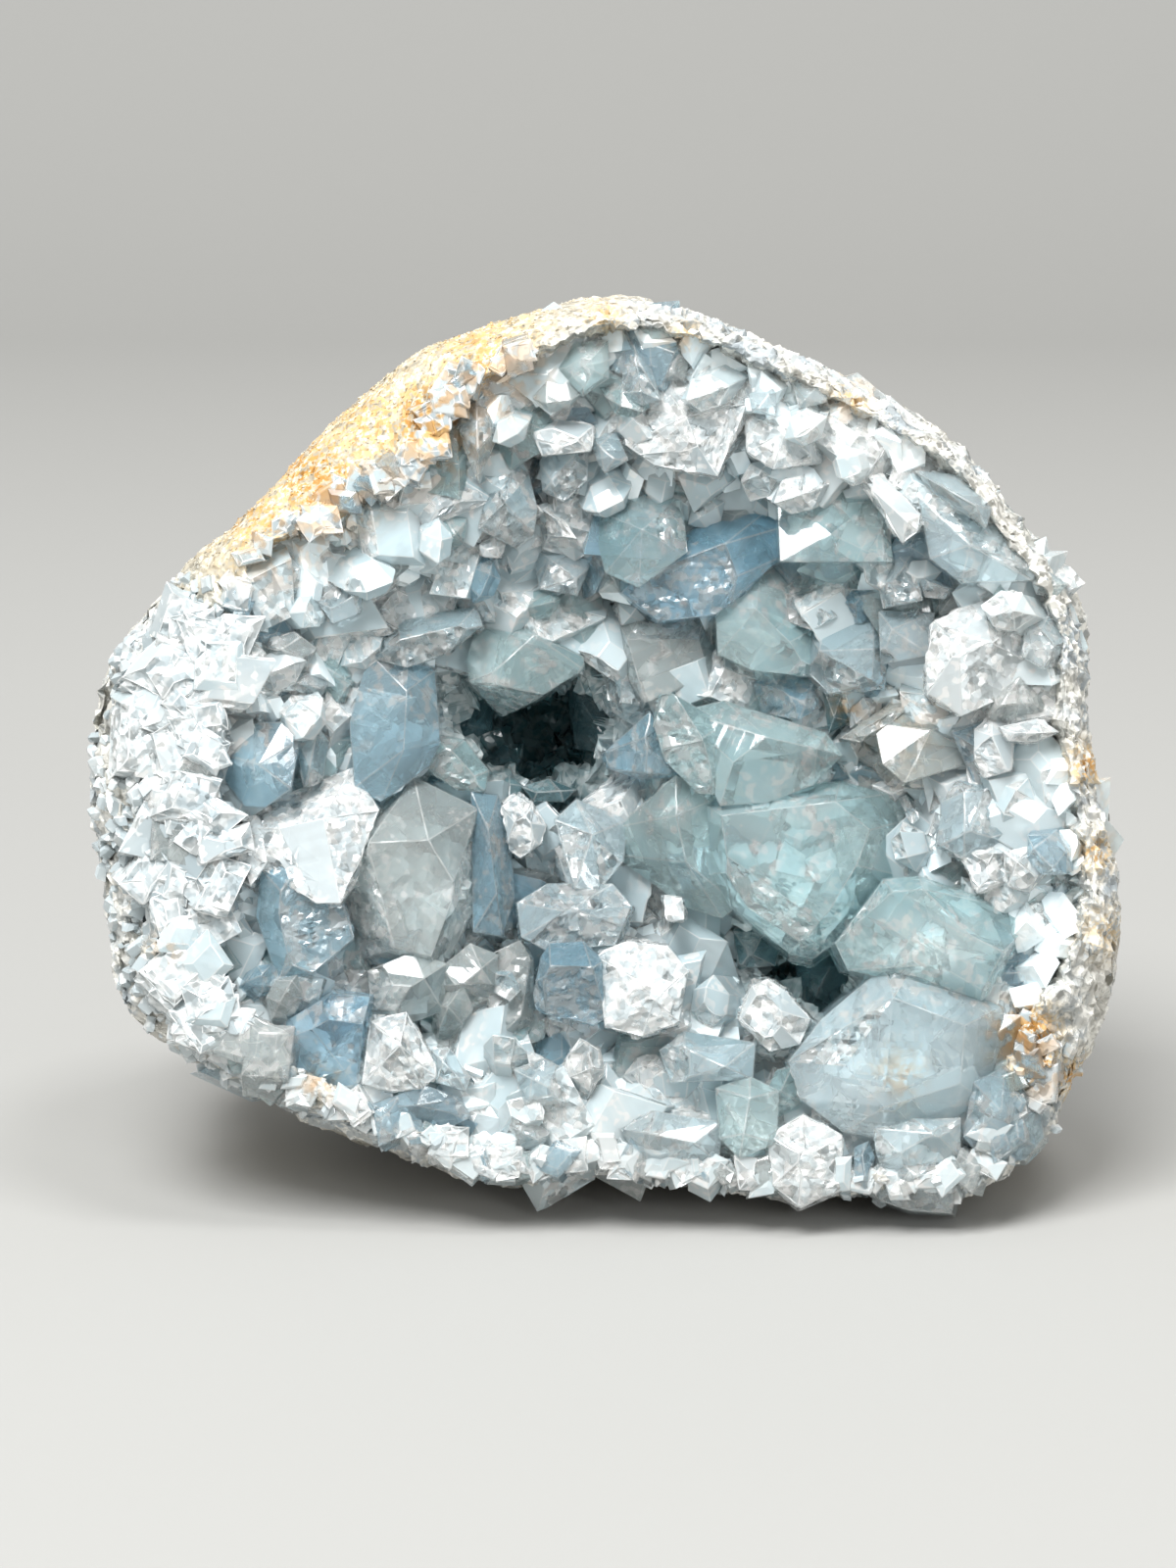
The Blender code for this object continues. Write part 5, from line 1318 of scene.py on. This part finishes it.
class Nodes:
    """Small helper that places and joins nodes of one tree."""

    def __init__(self, tree):
        self.tree = tree

    def add(self, kind, given=(), **settings):
        """New node with its settings, and its inputs by socket name or number."""
        node = self.tree.nodes.new(kind)
        for key, value in settings.items():
            setattr(node, key, value)
        for key, value in dict(given).items():
            self.put(node, key, value)
        return node

    def put(self, node, key, value):
        """Join a socket to an input, or write a plain value in it."""
        socket = node.inputs[key]
        if isinstance(value, bpy.types.NodeSocket):
            self.tree.links.new(value, socket)
        else:
            socket.default_value = value

    def maths(self, operation, first, second=0.0, clamp=False):
        return self.add(
            "ShaderNodeMath", {0: first, 1: second}, operation=operation, use_clamp=clamp).outputs[0]

    def times(self, first, second, clamp=False):
        return self.maths("MULTIPLY", first, second, clamp)

    def plus(self, first, second, clamp=False):
        return self.maths("ADD", first, second, clamp)

    def less(self, whole, share):
        """1 less a share of a value."""
        return self.maths("SUBTRACT", 1.0, self.times(whole, share))

    def direction(self, operation, first, second):
        return self.add("ShaderNodeVectorMath", {0: first, 1: second}, operation=operation).outputs[0]

    def mix(self, share, first, second):
        return self.add("ShaderNodeMix", {0: share, 6: first, 7: second}, data_type="RGBA").outputs[2]

    def noise(self, vector, scale, detail=3.0, roughness=0.55, distortion=0.0):
        given = {
            "Vector": vector, "Scale": scale, "Detail": detail, "Roughness": roughness,
            "Distortion": distortion,
        }
        return self.add("ShaderNodeTexNoise", given).outputs[0]

    def ramp(self, value, low, high):
        given = {"Value": value, "From Min": low, "From Max": high}
        return self.add("ShaderNodeMapRange", given, interpolation_type="SMOOTHSTEP").outputs[0]

    def attribute(self, name, output="Fac"):
        return self.add("ShaderNodeAttribute", attribute_name=name).outputs[output]

    def spot(self):
        """Place on the piece, in its own coordinates."""
        return self.add("ShaderNodeTexCoord").outputs["Object"]


def group_with(kind, name, inputs, outputs):
    """New node group with named sockets: its helper, its inputs and its output node."""
    tree = bpy.data.node_groups.new(name, kind)
    for way, sockets in (("INPUT", inputs), ("OUTPUT", outputs)):
        for key, socket in sockets:
            tree.interface.new_socket(key, in_out=way, socket_type="NodeSocket" + socket)
    nodes = Nodes(tree)
    return nodes, nodes.add("NodeGroupInput").outputs, nodes.add("NodeGroupOutput")


def strewing_tree():
    """Geometry Nodes tree that strews small pieces over a surface, denser where its cover value is high."""
    nodes, given, result = group_with(
        "GeometryNodeTree", "strewn_pieces",
        (("Surface", "Geometry"), ("Pieces", "Collection"), ("Spacing", "Float"), ("Density", "Float"),
         ("Smallest", "Float"), ("Largest", "Float"), ("Lean", "Float"), ("Seed", "Int"),
         ("Material", "Material")),
        (("Result", "Geometry"),),
    )
    add = nodes.add
    seed = given["Seed"]
    cover = add("GeometryNodeInputNamedAttribute", {"Name": "cover"}, data_type="FLOAT")
    strew = add("GeometryNodeDistributePointsOnFaces", distribute_method="POISSON")
    for key, value in (
        ("Mesh", given["Surface"]), ("Distance Min", given["Spacing"]), ("Density Max", given["Density"]),
        ("Density Factor", cover.outputs["Attribute"]), ("Seed", seed),
    ):
        nodes.put(strew, key, value)
    shapes = add("GeometryNodeCollectionInfo", {
        "Collection": given["Pieces"], "Separate Children": True, "Reset Children": True})
    size = add("FunctionNodeRandomValue", data_type="FLOAT")
    for key, value in ((2, given["Smallest"]), (3, given["Largest"]), ("Seed", seed)):
        nodes.put(size, key, value)
    choice = add("FunctionNodeRandomValue", data_type="INT")
    for key, value in ((5, 99), ("Seed", seed)):
        nodes.put(choice, key, value)
    lean = given["Lean"]
    back = nodes.times(lean, -1.0)
    least = add("ShaderNodeCombineXYZ", {0: back, 1: back})
    most = add("ShaderNodeCombineXYZ", {0: lean, 1: lean, 2: 2 * math.pi})
    angles = add("FunctionNodeRandomValue", data_type="FLOAT_VECTOR")
    for key, value in ((0, least.outputs[0]), (1, most.outputs[0]), ("Seed", seed)):
        nodes.put(angles, key, value)
    as_turn = add("FunctionNodeEulerToRotation", {0: angles.outputs[0]})
    turn = add("FunctionNodeRotateRotation", rotation_space="LOCAL")
    nodes.put(turn, 0, strew.outputs["Rotation"])
    nodes.put(turn, 1, as_turn.outputs[0])
    put = add("GeometryNodeInstanceOnPoints", {
        "Points": strew.outputs["Points"], "Instance": shapes.outputs[0], "Pick Instance": True,
        "Instance Index": choice.outputs[2], "Rotation": turn.outputs[0], "Scale": size.outputs[1]})
    tone = add("FunctionNodeRandomValue", data_type="FLOAT")
    keep = add("GeometryNodeStoreNamedAttribute", data_type="FLOAT", domain="INSTANCE")
    for key, value in (("Name", "tone"), ("Geometry", put.outputs[0]), ("Value", tone.outputs[1])):
        nodes.put(keep, key, value)
    real = add("GeometryNodeRealizeInstances", {"Geometry": keep.outputs[0]})
    finish = add("GeometryNodeSetMaterial", {"Geometry": real.outputs[0], "Material": given["Material"]})
    nodes.put(result, 0, finish.outputs[0])
    return nodes.tree


def strewn(name, surface, tree, settings):
    """Plain mesh object of small pieces strewn over a surface."""
    grown = surface.modifiers.new(name, "NODES")
    grown.node_group = tree
    for item in tree.interface.items_tree:
        if item.in_out == "INPUT" and item.name in settings:
            grown[item.identifier] = settings[item.name]
    graph = bpy.context.evaluated_depsgraph_get()
    mesh = bpy.data.meshes.new_from_object(surface.evaluated_get(graph))
    surface.modifiers.remove(grown)
    corners = kept_in_box(mesh_corners(mesh))
    mesh.vertices.foreach_set("co", corners.astype(np.float32).ravel())
    mesh.update()
    mesh.name = name
    return shown(bpy.data.objects.new(name, mesh))


def cover_surface(made, rule):
    """Keep on each corner of a surface how thickly it is covered, from its place on the picture."""
    mesh = made.data
    write_values(mesh, "cover", "POINT", rule(*picture_places(mesh_corners(mesh))))


def rim_share(x, y):
    """How far out places lie as a share of the rim's reach, and the angle about the hub."""
    angle = np.degrees(np.arctan2(HUB[1] - y, x - HUB[0])) % 360.0
    table = np.array([rim_reach(a) for a in range(361)])
    return np.hypot(x - HUB[0], y - HUB[1]) / np.interp(angle, np.arange(361), table), angle


def wall_crystal_cover(x, y, depth):
    """Small crystals stand on the broad broken wall at the left and, fewer, along the bottom."""
    share, angle = rim_share(x, y)
    front = np.clip((GIRTH_DEPTH + 1 - depth) / 5, 0, 1) * (share > 0.9)
    bottom = np.where((angle > 222) & (angle < 330), 0.3, 0.0)
    return front * np.where((angle > 156) & (angle < 222), 1.0, bottom)


def grain_cover(x, y, depth):
    """Sugary grains lie all over the rim and thin out behind the girth, but for the finer rind."""
    share, _ = rim_share(x, y)
    return np.clip((GIRTH_DEPTH + 22 - depth) / 16, 0.22, 1) * (share > 0.9) * (1 - rind_cover(x, y, depth))


def lining_cover(x, y, depth):
    """Small crystals fill the lining wherever it faces the opening, but not the deep hollows."""
    share, _ = rim_share(x, y)
    mouths = [widened(mouth, 1.25) for _, mouth, _ in POCKETS]
    clear = np.array([not any(inside(a, b, mouth) for mouth in mouths) for a, b in zip(x, y)])
    return ((depth < 32) & (share < 0.99) & clear).astype(float)


def rind_cover(x, y, depth):
    """Fine sugar covers the outer rind at the upper left."""
    share, angle = rim_share(x, y)
    first, last = RIND_ANGLES
    return ((angle > first) & (angle < last) & (share > 1.0) & (depth < 45)).astype(float)


# Stains: picture place, reach in millimetres and strength
STAINS = (
    (440, 430, 9, 1.0), (325, 490, 10, 0.95), (380, 435, 12, 0.65), (490, 365, 11, 0.7), (265, 530, 10, 0.7),
    (1110, 780, 4, 0.8), (1117, 870, 4, 0.7), (1098, 1100, 4, 0.8), (1046, 1055, 6, 1.0),
    (1060, 1090, 5, 0.8), (618, 322, 4, 0.6), (700, 343, 3, 0.6), (870, 408, 4, 0.6), (917, 1095, 4, 0.7),
    (864, 722, 3, 0.7), (324, 1107, 3, 0.7), (167, 967, 3, 0.5), (920, 750, 8, 0.3), (1128, 950, 5, 0.5),
)


def stain_values(x, y, depth):
    """How strongly each place is stained, from the places of the stains."""
    amount = np.zeros(len(x))
    for spot_x, spot_y, reach, strength in STAINS:
        apart = np.hypot(x - spot_x, y - spot_y) * UNIT
        amount = np.maximum(amount, strength * np.clip(1.2 - apart / reach, 0, 1))
    return np.clip(amount, 0, 1) * np.clip((36 - depth) / 12, 0, 1)


def write_place_values(made):
    """Keep on each corner its stain and rind, its depth for painted shade, and how far out it is for painted
    glare.
    """
    mesh = made.data
    x, y, depth = picture_places(mesh_corners(mesh))
    write_values(mesh, "stain", "POINT", stain_values(x, y, depth))
    # Painted shade: 0 near the front, rising to 1 deep in the hollows, where the crystal colours are darkened
    write_values(mesh, "deep", "POINT", np.clip((depth - 26) / 14, 0, 1))
    share, angle = rim_share(x, y)
    crest = np.interp(angle, np.arange(361), [smooth_stop(CREST_REACH, a) for a in range(361)])
    # Painted glare: 0 inside, rising to 1 towards the rim, where the crystal colours are washed towards white
    write_values(mesh, "painted_rim_glare", "POINT", np.clip((share * crest - 0.68) / 0.30, 0, 1))
    first, last = RIND_ANGLES
    beside = np.clip(np.minimum(angle - first + 6, last + 6 - angle) / 8, 0, 1)
    rind = np.maximum(beside, np.clip((depth - GIRTH_DEPTH) / 20, 0, 0.8))
    write_values(mesh, "rind", "POINT", rind * np.clip((share - 0.98) / 0.05, 0, 1))


# Colours of the crystals' skin and of the wall
FROST_WHITE = (0.97, 0.97, 0.95, 1.0)
# Painted glare: the white that crystals near the rim are lightened towards
PAINTED_GLARE_WHITE = (0.92, 0.94, 0.92, 1.0)
CRYSTAL_STAIN = (0.62, 0.36, 0.11, 1.0)
WALL_BONE = (0.48, 0.47, 0.43, 1.0)
WALL_BLUE_GREY = (0.33, 0.37, 0.39, 1.0)
WALL_FLECK = (0.74, 0.73, 0.68, 1.0)
WALL_SHADE = (0.40, 0.45, 0.47, 1.0)
RIND_DARK = (0.38, 0.35, 0.28, 1.0)
RIND_LIGHT = (0.68, 0.65, 0.55, 1.0)
RIND_TAN = (0.50, 0.38, 0.22, 1.0)
OCHRE = (0.66, 0.46, 0.19, 1.0)
RUST = (0.46, 0.22, 0.05, 1.0)

# Flakes to a metre on broken crystal and on the wall, and how strongly clear crystal bends light
CRYSTAL_FLAKES = 750.0
WALL_FLAKES = 900.0
CELESTITE_IOR = 1.62


def make_crystal_skin():
    """Group with the colour, roughness and height of a crystal's facets."""
    nodes, given, result = group_with(
        "ShaderNodeTree", "crystal_skin",
        (("Body", "Color"), ("Dark Body", "Color"), ("Frost", "Color"), ("Stain", "Color"),
         ("Veil", "Float"), ("Frost Amount", "Float")),
        (("Colour", "Color"), ("Roughness", "Float"), ("Height", "Float")),
    )
    spot = nodes.spot()
    broken, worn, tone, facet, deep, stain = (
        nodes.attribute(name) for name in ("broken", "worn_edge", "tone", "facet", "deep", "stain")
    )
    along = nodes.add(
        "ShaderNodeVectorMath", {0: spot, 1: nodes.attribute("axis", "Vector")}, operation="DOT_PRODUCT")
    lines = nodes.add("ShaderNodeTexNoise", noise_dimensions="1D")
    for key, value in (("W", along.outputs["Value"]), ("Scale", 600.0), ("Detail", 1.0)):
        nodes.put(lines, key, value)
    clouds = nodes.noise(spot, 70.0, 1.0, 0.6, 0.8)
    fleck = nodes.noise(spot, 520.0, 1.0, 0.7)
    flecks = nodes.ramp(fleck, 0.42, 0.58)
    milk = nodes.ramp(clouds, 0.50, 0.72)
    streaks = nodes.times(nodes.ramp(lines.outputs[0], 0.62, 0.72), milk)
    specks = nodes.times(nodes.ramp(fleck, 0.55, 0.62), nodes.ramp(clouds, 0.42, 0.58))
    inner = nodes.plus(nodes.times(milk, 0.35), nodes.times(streaks, 0.5))
    inner = nodes.times(nodes.plus(inner, nodes.times(specks, 0.9)), given["Veil"])
    frost = nodes.times(broken, nodes.plus(nodes.times(flecks, 0.8), 0.15))
    frost = nodes.times(frost, given["Frost Amount"])
    white = nodes.maths("MAXIMUM", frost, inner)
    white = nodes.maths("MAXIMUM", white, nodes.times(worn, 0.6), clamp=True)
    dim = nodes.plus(nodes.times(facet, 0.65), nodes.times(tone, 0.35), clamp=True)
    body = nodes.mix(dim, given["Body"], given["Dark Body"])
    # Painted glare: crystals turn whiter towards the rim, as if washed out by strong light
    body = nodes.mix(nodes.times(nodes.attribute("painted_rim_glare"), 0.28), body, PAINTED_GLARE_WHITE)
    # Painted shade: crystals and lining turn to their dark body, and lose their white, deeper in the hollows
    body = nodes.mix(deep, body, given["Dark Body"])
    colour = nodes.mix(nodes.times(white, nodes.less(deep, 0.8)), body, given["Frost"])
    stained = nodes.times(stain, flecks, clamp=True)
    rough = nodes.plus(nodes.times(frost, 0.25), 0.10)
    rough = nodes.plus(rough, nodes.times(worn, 0.15))
    rough = nodes.plus(rough, nodes.times(stained, 0.35), clamp=True)
    nodes.put(result, "Colour", nodes.mix(stained, colour, given["Stain"]))
    nodes.put(result, "Roughness", rough)
    nodes.put(result, "Height", nodes.times(lines.outputs[0], 0.00008))
    return nodes.tree


def make_flakes():
    """Group with the normal of small flat flakes that each lean their own way."""
    nodes, given, result = group_with(
        "ShaderNodeTree", "broken_flakes", (("Scale", "Float"), ("Amount", "Float")), (("Normal", "Vector"),))
    cells = nodes.add("ShaderNodeTexVoronoi", {"Vector": nodes.spot(), "Scale": given["Scale"]})
    lean = nodes.direction("SUBTRACT", cells.outputs["Color"], (0.5, 0.5, 0.5))
    slanted = nodes.add("ShaderNodeVectorMath", {0: lean}, operation="SCALE")
    nodes.put(slanted, "Scale", given["Amount"])
    straight = nodes.add("ShaderNodeNewGeometry").outputs["Normal"]
    turned = nodes.direction("ADD", straight, slanted.outputs[0])
    level = nodes.add("ShaderNodeVectorMath", {0: turned}, operation="NORMALIZE")
    nodes.put(result, "Normal", level.outputs[0])
    return nodes.tree


def new_material(name):
    """New material with its node helper and its Principled shader."""
    material = bpy.data.materials.new(name)
    material.use_nodes = True
    return material, Nodes(material.node_tree), material.node_tree.nodes["Principled BSDF"]


def crystal_material(name, skin, flakes, finish):
    """Clear or milky celestite, flaky where it is broken if flakes are given."""
    body, dark, transmission, density, absorbed, frost_amount, veil = finish
    material, nodes, shader = new_material(name)
    group = nodes.add("ShaderNodeGroup", node_tree=skin)
    for key, value in (
        ("Body", body), ("Dark Body", dark), ("Frost", FROST_WHITE), ("Stain", CRYSTAL_STAIN),
        ("Veil", veil), ("Frost Amount", frost_amount),
    ):
        nodes.put(group, key, value)
    bump = nodes.add("ShaderNodeBump", {"Strength": 1.0, "Distance": 1.0, "Height": group.outputs["Height"]})
    if flakes:
        flaky = nodes.add("ShaderNodeGroup", node_tree=flakes)
        nodes.put(flaky, "Scale", CRYSTAL_FLAKES)
        nodes.put(flaky, "Amount", nodes.attribute("broken"))
        nodes.put(bump, "Normal", flaky.outputs["Normal"])
    for key, value in (
        ("Base Color", group.outputs["Colour"]), ("Roughness", group.outputs["Roughness"]),
        ("Normal", bump.outputs[0]), ("Transmission Weight", transmission), ("IOR", CELESTITE_IOR),
    ):
        nodes.put(shader, key, value)
    if density > 0.0:
        absorption = nodes.add("ShaderNodeVolumeAbsorption", {"Color": absorbed, "Density": density})
        nodes.put(material.node_tree.nodes["Material Output"], "Volume", absorption.outputs[0])
    return material


def wall_material(flakes):
    """Granular white wall with ochre and orange-brown stains."""
    material, nodes, shader = new_material("granular_wall")
    spot = nodes.spot()
    stain = nodes.attribute("stain")
    rind = nodes.attribute("rind")
    clouds = nodes.ramp(nodes.noise(spot, 90.0, 2.0, 0.6, 0.5), 0.40, 0.62)
    flecks = nodes.ramp(nodes.noise(spot, 500.0, 2.0, 0.65), 0.47, 0.60)
    patchy = nodes.ramp(nodes.noise(spot, 950.0, 2.0, 0.7), 0.44, 0.56)
    colour = nodes.mix(flecks, nodes.mix(clouds, WALL_BONE, WALL_BLUE_GREY), WALL_FLECK)
    tan = nodes.times(nodes.ramp(nodes.noise(spot, 45.0, 3.0, 0.6, 0.4), 0.50, 0.70), patchy)
    colour = nodes.mix(rind, colour, nodes.mix(tan, nodes.mix(flecks, RIND_DARK, RIND_LIGHT), RIND_TAN))
    dim = nodes.ramp(nodes.times(nodes.attribute("tone"), nodes.attribute("facet")), 0.05, 0.75)
    colour = nodes.mix(nodes.times(dim, nodes.less(rind, 0.6)), colour, WALL_SHADE)
    ochre = nodes.times(stain, nodes.plus(0.15, patchy), clamp=True)
    rust = nodes.times(nodes.ramp(stain, 0.40, 0.95), patchy, clamp=True)
    colour = nodes.mix(rust, nodes.mix(ochre, colour, OCHRE), RUST)
    flaky = nodes.add("ShaderNodeGroup", node_tree=flakes)
    nodes.put(flaky, "Scale", WALL_FLAKES)
    nodes.put(flaky, "Amount", 1.0)
    nodes.put(shader, "Base Color", colour)
    nodes.put(shader, "Roughness", nodes.maths("SUBTRACT", 0.6, nodes.times(flecks, 0.35)))
    nodes.put(shader, "Normal", flaky.outputs["Normal"])
    return material


# Each finish: body, dark body, see-through share, density, colour it lets through, frost and inner clouds
CRYSTAL_FINISH = {
    "pale": ((0.79, 0.92, 0.97, 1), (0.55, 0.74, 0.81, 1), 0.78, 0.0, (1, 1, 1, 1), 0.9, 0.9),
    "frosted": ((0.82, 0.93, 0.96, 1), (0.58, 0.75, 0.81, 1), 0.50, 0.0, (1, 1, 1, 1), 0.9, 0.9),
    "aqua": ((0.74, 0.92, 0.93, 1), (0.50, 0.75, 0.79, 1), 0.82, 8.0, (0.62, 0.88, 0.91, 1), 0.8, 0.9),
    "blue": ((0.58, 0.84, 0.96, 1), (0.37, 0.62, 0.77, 1), 0.82, 12.0, (0.42, 0.76, 0.93, 1), 0.8, 0.8),
    "vivid": ((0.47, 0.80, 0.98, 1), (0.30, 0.60, 0.80, 1), 0.84, 16.0, (0.30, 0.68, 0.93, 1), 0.8, 0.8),
    "smoky": ((0.67, 0.73, 0.72, 1), (0.41, 0.49, 0.50, 1), 0.75, 0.0, (1, 1, 1, 1), 0.8, 0.8),
    "white": ((0.74, 0.81, 0.83, 1), (0.52, 0.62, 0.66, 1), 0.50, 0.0, (1, 1, 1, 1), 0.95, 0.9),
    "rough": ((0.41, 0.49, 0.52, 1), (0.22, 0.30, 0.34, 1), 0.20, 0.0, (1, 1, 1, 1), 0.48, 0.6),
    "milky": ((0.84, 0.92, 0.94, 1), (0.58, 0.70, 0.75, 1), 0.0, 0.0, (1, 1, 1, 1), 0.9, 0.7),
    # The deep finish is a darker aqua: painted shade on crystals in the hollows and in shade
    "deep": ((0.34, 0.54, 0.58, 1), (0.10, 0.23, 0.27, 1), 0.75, 35.0, (0.40, 0.66, 0.74, 1), 0.5, 0.5),
    # The lining's near-black dark body is painted shade for the bottoms of the hollows; random tones also
    # pull towards it
    "lining": ((0.84, 0.93, 0.95, 1), (0.05, 0.15, 0.17, 1), 0.0, 0.0, (1, 1, 1, 1), 0.9, 0.8),
}


# Finishes that are flaky where they are broken
FLAKY_TINTS = ("pale", "frosted", "white", "rough", "milky", "lining")


def finish_piece(made, material, replaced, slot):
    """Give a piece its material, its place in the frame and the solids it stands for."""
    write_place_values(made)
    made.data.materials.clear()
    made.data.materials.append(material)
    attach(made, "root")
    if replaced:
        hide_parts(replaced)


def make_floor():
    """Plain pale floor that rises behind the geode."""
    profile = [(FLOOR_FRONT, 0.0), (FLOOR_BEND, 0.0)]
    for step in range(1, 9):
        bend = math.radians(90.0 * step / 8)
        profile.append((
            FLOOR_BEND + FLOOR_CURVE * math.sin(bend), FLOOR_CURVE - FLOOR_CURVE * math.cos(bend)))
    profile.append((FLOOR_BEND + FLOOR_CURVE, FLOOR_HEIGHT))
    mesh = bmesh.new()
    rows = [[mesh.verts.new((x, y, z)) for x in (-FLOOR_SIDE, FLOOR_SIDE)] for y, z in profile]
    for row, following in zip(rows, rows[1:]):
        mesh.faces.new((row[0], row[1], following[1], following[0])).smooth = True
    data = bpy.data.meshes.new("floor")
    mesh.to_mesh(data)
    mesh.free()
    material, nodes, shader = new_material("pale_floor")
    nodes.put(shader, "Base Color", FLOOR_GREY)
    nodes.put(shader, "Roughness", 0.8)
    data.materials.append(material)
    shown(bpy.data.objects.new("floor", data))


def area_light(name, place_at, size, power):
    """Soft square light that points at the geode."""
    light = bpy.data.lights.new(name, "AREA")
    light.shape = "SQUARE"
    light.size = size
    light.energy = power
    made = shown(bpy.data.objects.new(name, light))
    made.location = place_at
    made.rotation_euler = (Vector(LIT_PLACE) - Vector(place_at)).to_track_quat("-Z", "Y").to_euler()


def make_light():
    """Soft studio light: windows above and at the sides, and pale air."""
    for light in LIGHTS:
        area_light(*light)
    world = bpy.data.worlds.new("pale_air")
    world.use_nodes = True
    air = world.node_tree.nodes["Background"]
    air.inputs["Color"].default_value = AIR_COLOUR
    air.inputs["Strength"].default_value = AIR_STRENGTH
    bpy.context.scene.world = world
    bpy.context.scene.view_settings.view_transform = "Standard"


def make_camera():
    """Camera square on to the open side, as far away as the picture was seen from."""
    camera = bpy.data.cameras.new("camera")
    camera.sensor_width = 36.0
    camera.lens = camera.sensor_width * VIEW_DISTANCE / (PICTURE_HEIGHT * UNIT)
    made = shown(bpy.data.objects.new("camera", camera))
    made.location = place(*PICTURE_CENTRE, -VIEW_DISTANCE)
    made.rotation_euler = (math.radians(90.0 - FACE_TILT), 0.0, 0.0)
    bpy.context.scene.camera = made


# Strewn pieces: which surface and cover rule, which small shapes, spacing and sizes in millimetres, places
# to a square metre, lean, seed, finish and slot
STREWN = (
    ("rim_crystals", "wall", wall_crystal_cover, "crystal", 1.4, 3.5e5, 0.8, 2.4, 0.4, 1, "rough", "crystal"),
    ("wall_grains", "wall", grain_cover, "grain", 0.9, 5.0e5, 0.35, 0.95, 0.4, 2, "wall", "matrix"),
    ("rind_sugar", "wall", rind_cover, "grain", 0.6, 1.6e6, 0.4, 0.9, 0.4, 4, "wall", "matrix"),
    ("small_crystals", "lining", lining_cover, "crystal", 2.4, 1.6e5, 2.2, 5.5, 0.5, 3, "milky", "crystal"),
)


def strew_all(surfaces, materials):
    """The strewn pieces by name, each with its finish and slot."""
    chance = random.Random(3)
    seeds = {
        "crystal": seed_collection("crystal_seeds", [small_crystal_seed(k, chance) for k in range(8)]),
        "grain": seed_collection("grain_seeds", [grain_seed(k, chance) for k in range(6)]),
    }
    tree = strewing_tree()
    made = {}
    for name, surface, rule, kind, spacing, density, small, large, lean, seed, finish, slot in STREWN:
        cover_surface(surfaces[surface], rule)
        piece = strewn(name, surfaces[surface], tree, {
            "Pieces": seeds[kind], "Spacing": MM * spacing, "Density": density, "Smallest": MM * small,
            "Largest": MM * large, "Lean": lean, "Seed": seed, "Material": materials[finish]})
        made[name] = (piece, finish, slot)
    for collection in seeds.values():
        for shape in list(collection.objects):
            bpy.data.objects.remove(shape)
        bpy.data.collections.remove(collection)
    return made


def main():
    """Make every piece, then the stage round it."""
    skin = make_crystal_skin()
    flakes = make_flakes()
    materials = {"wall": wall_material(flakes)}
    for tint, finish in CRYSTAL_FINISH.items():
        flaky = flakes if tint in FLAKY_TINTS else None
        materials[tint] = crystal_material(tint + "_celestite", skin, flaky, finish)
    surfaces = {"wall": make_wall(), "lining": make_lining()}
    small = strew_all(surfaces, materials)
    finish_piece(surfaces["wall"], materials["wall"], "matrix_shell", "matrix")
    for piece, finish, slot in small.values():
        finish_piece(piece, materials[finish], None, slot)
    finish_piece(surfaces["lining"], materials["lining"], "crystal_crust", "crystal")
    for tint, solids in crystals_by_tint().items():
        finish_piece(fused(tint + "_crystals", solids), materials[tint], "crystal_crust", "crystal")
    make_floor()
    make_light()
    make_camera()


main()
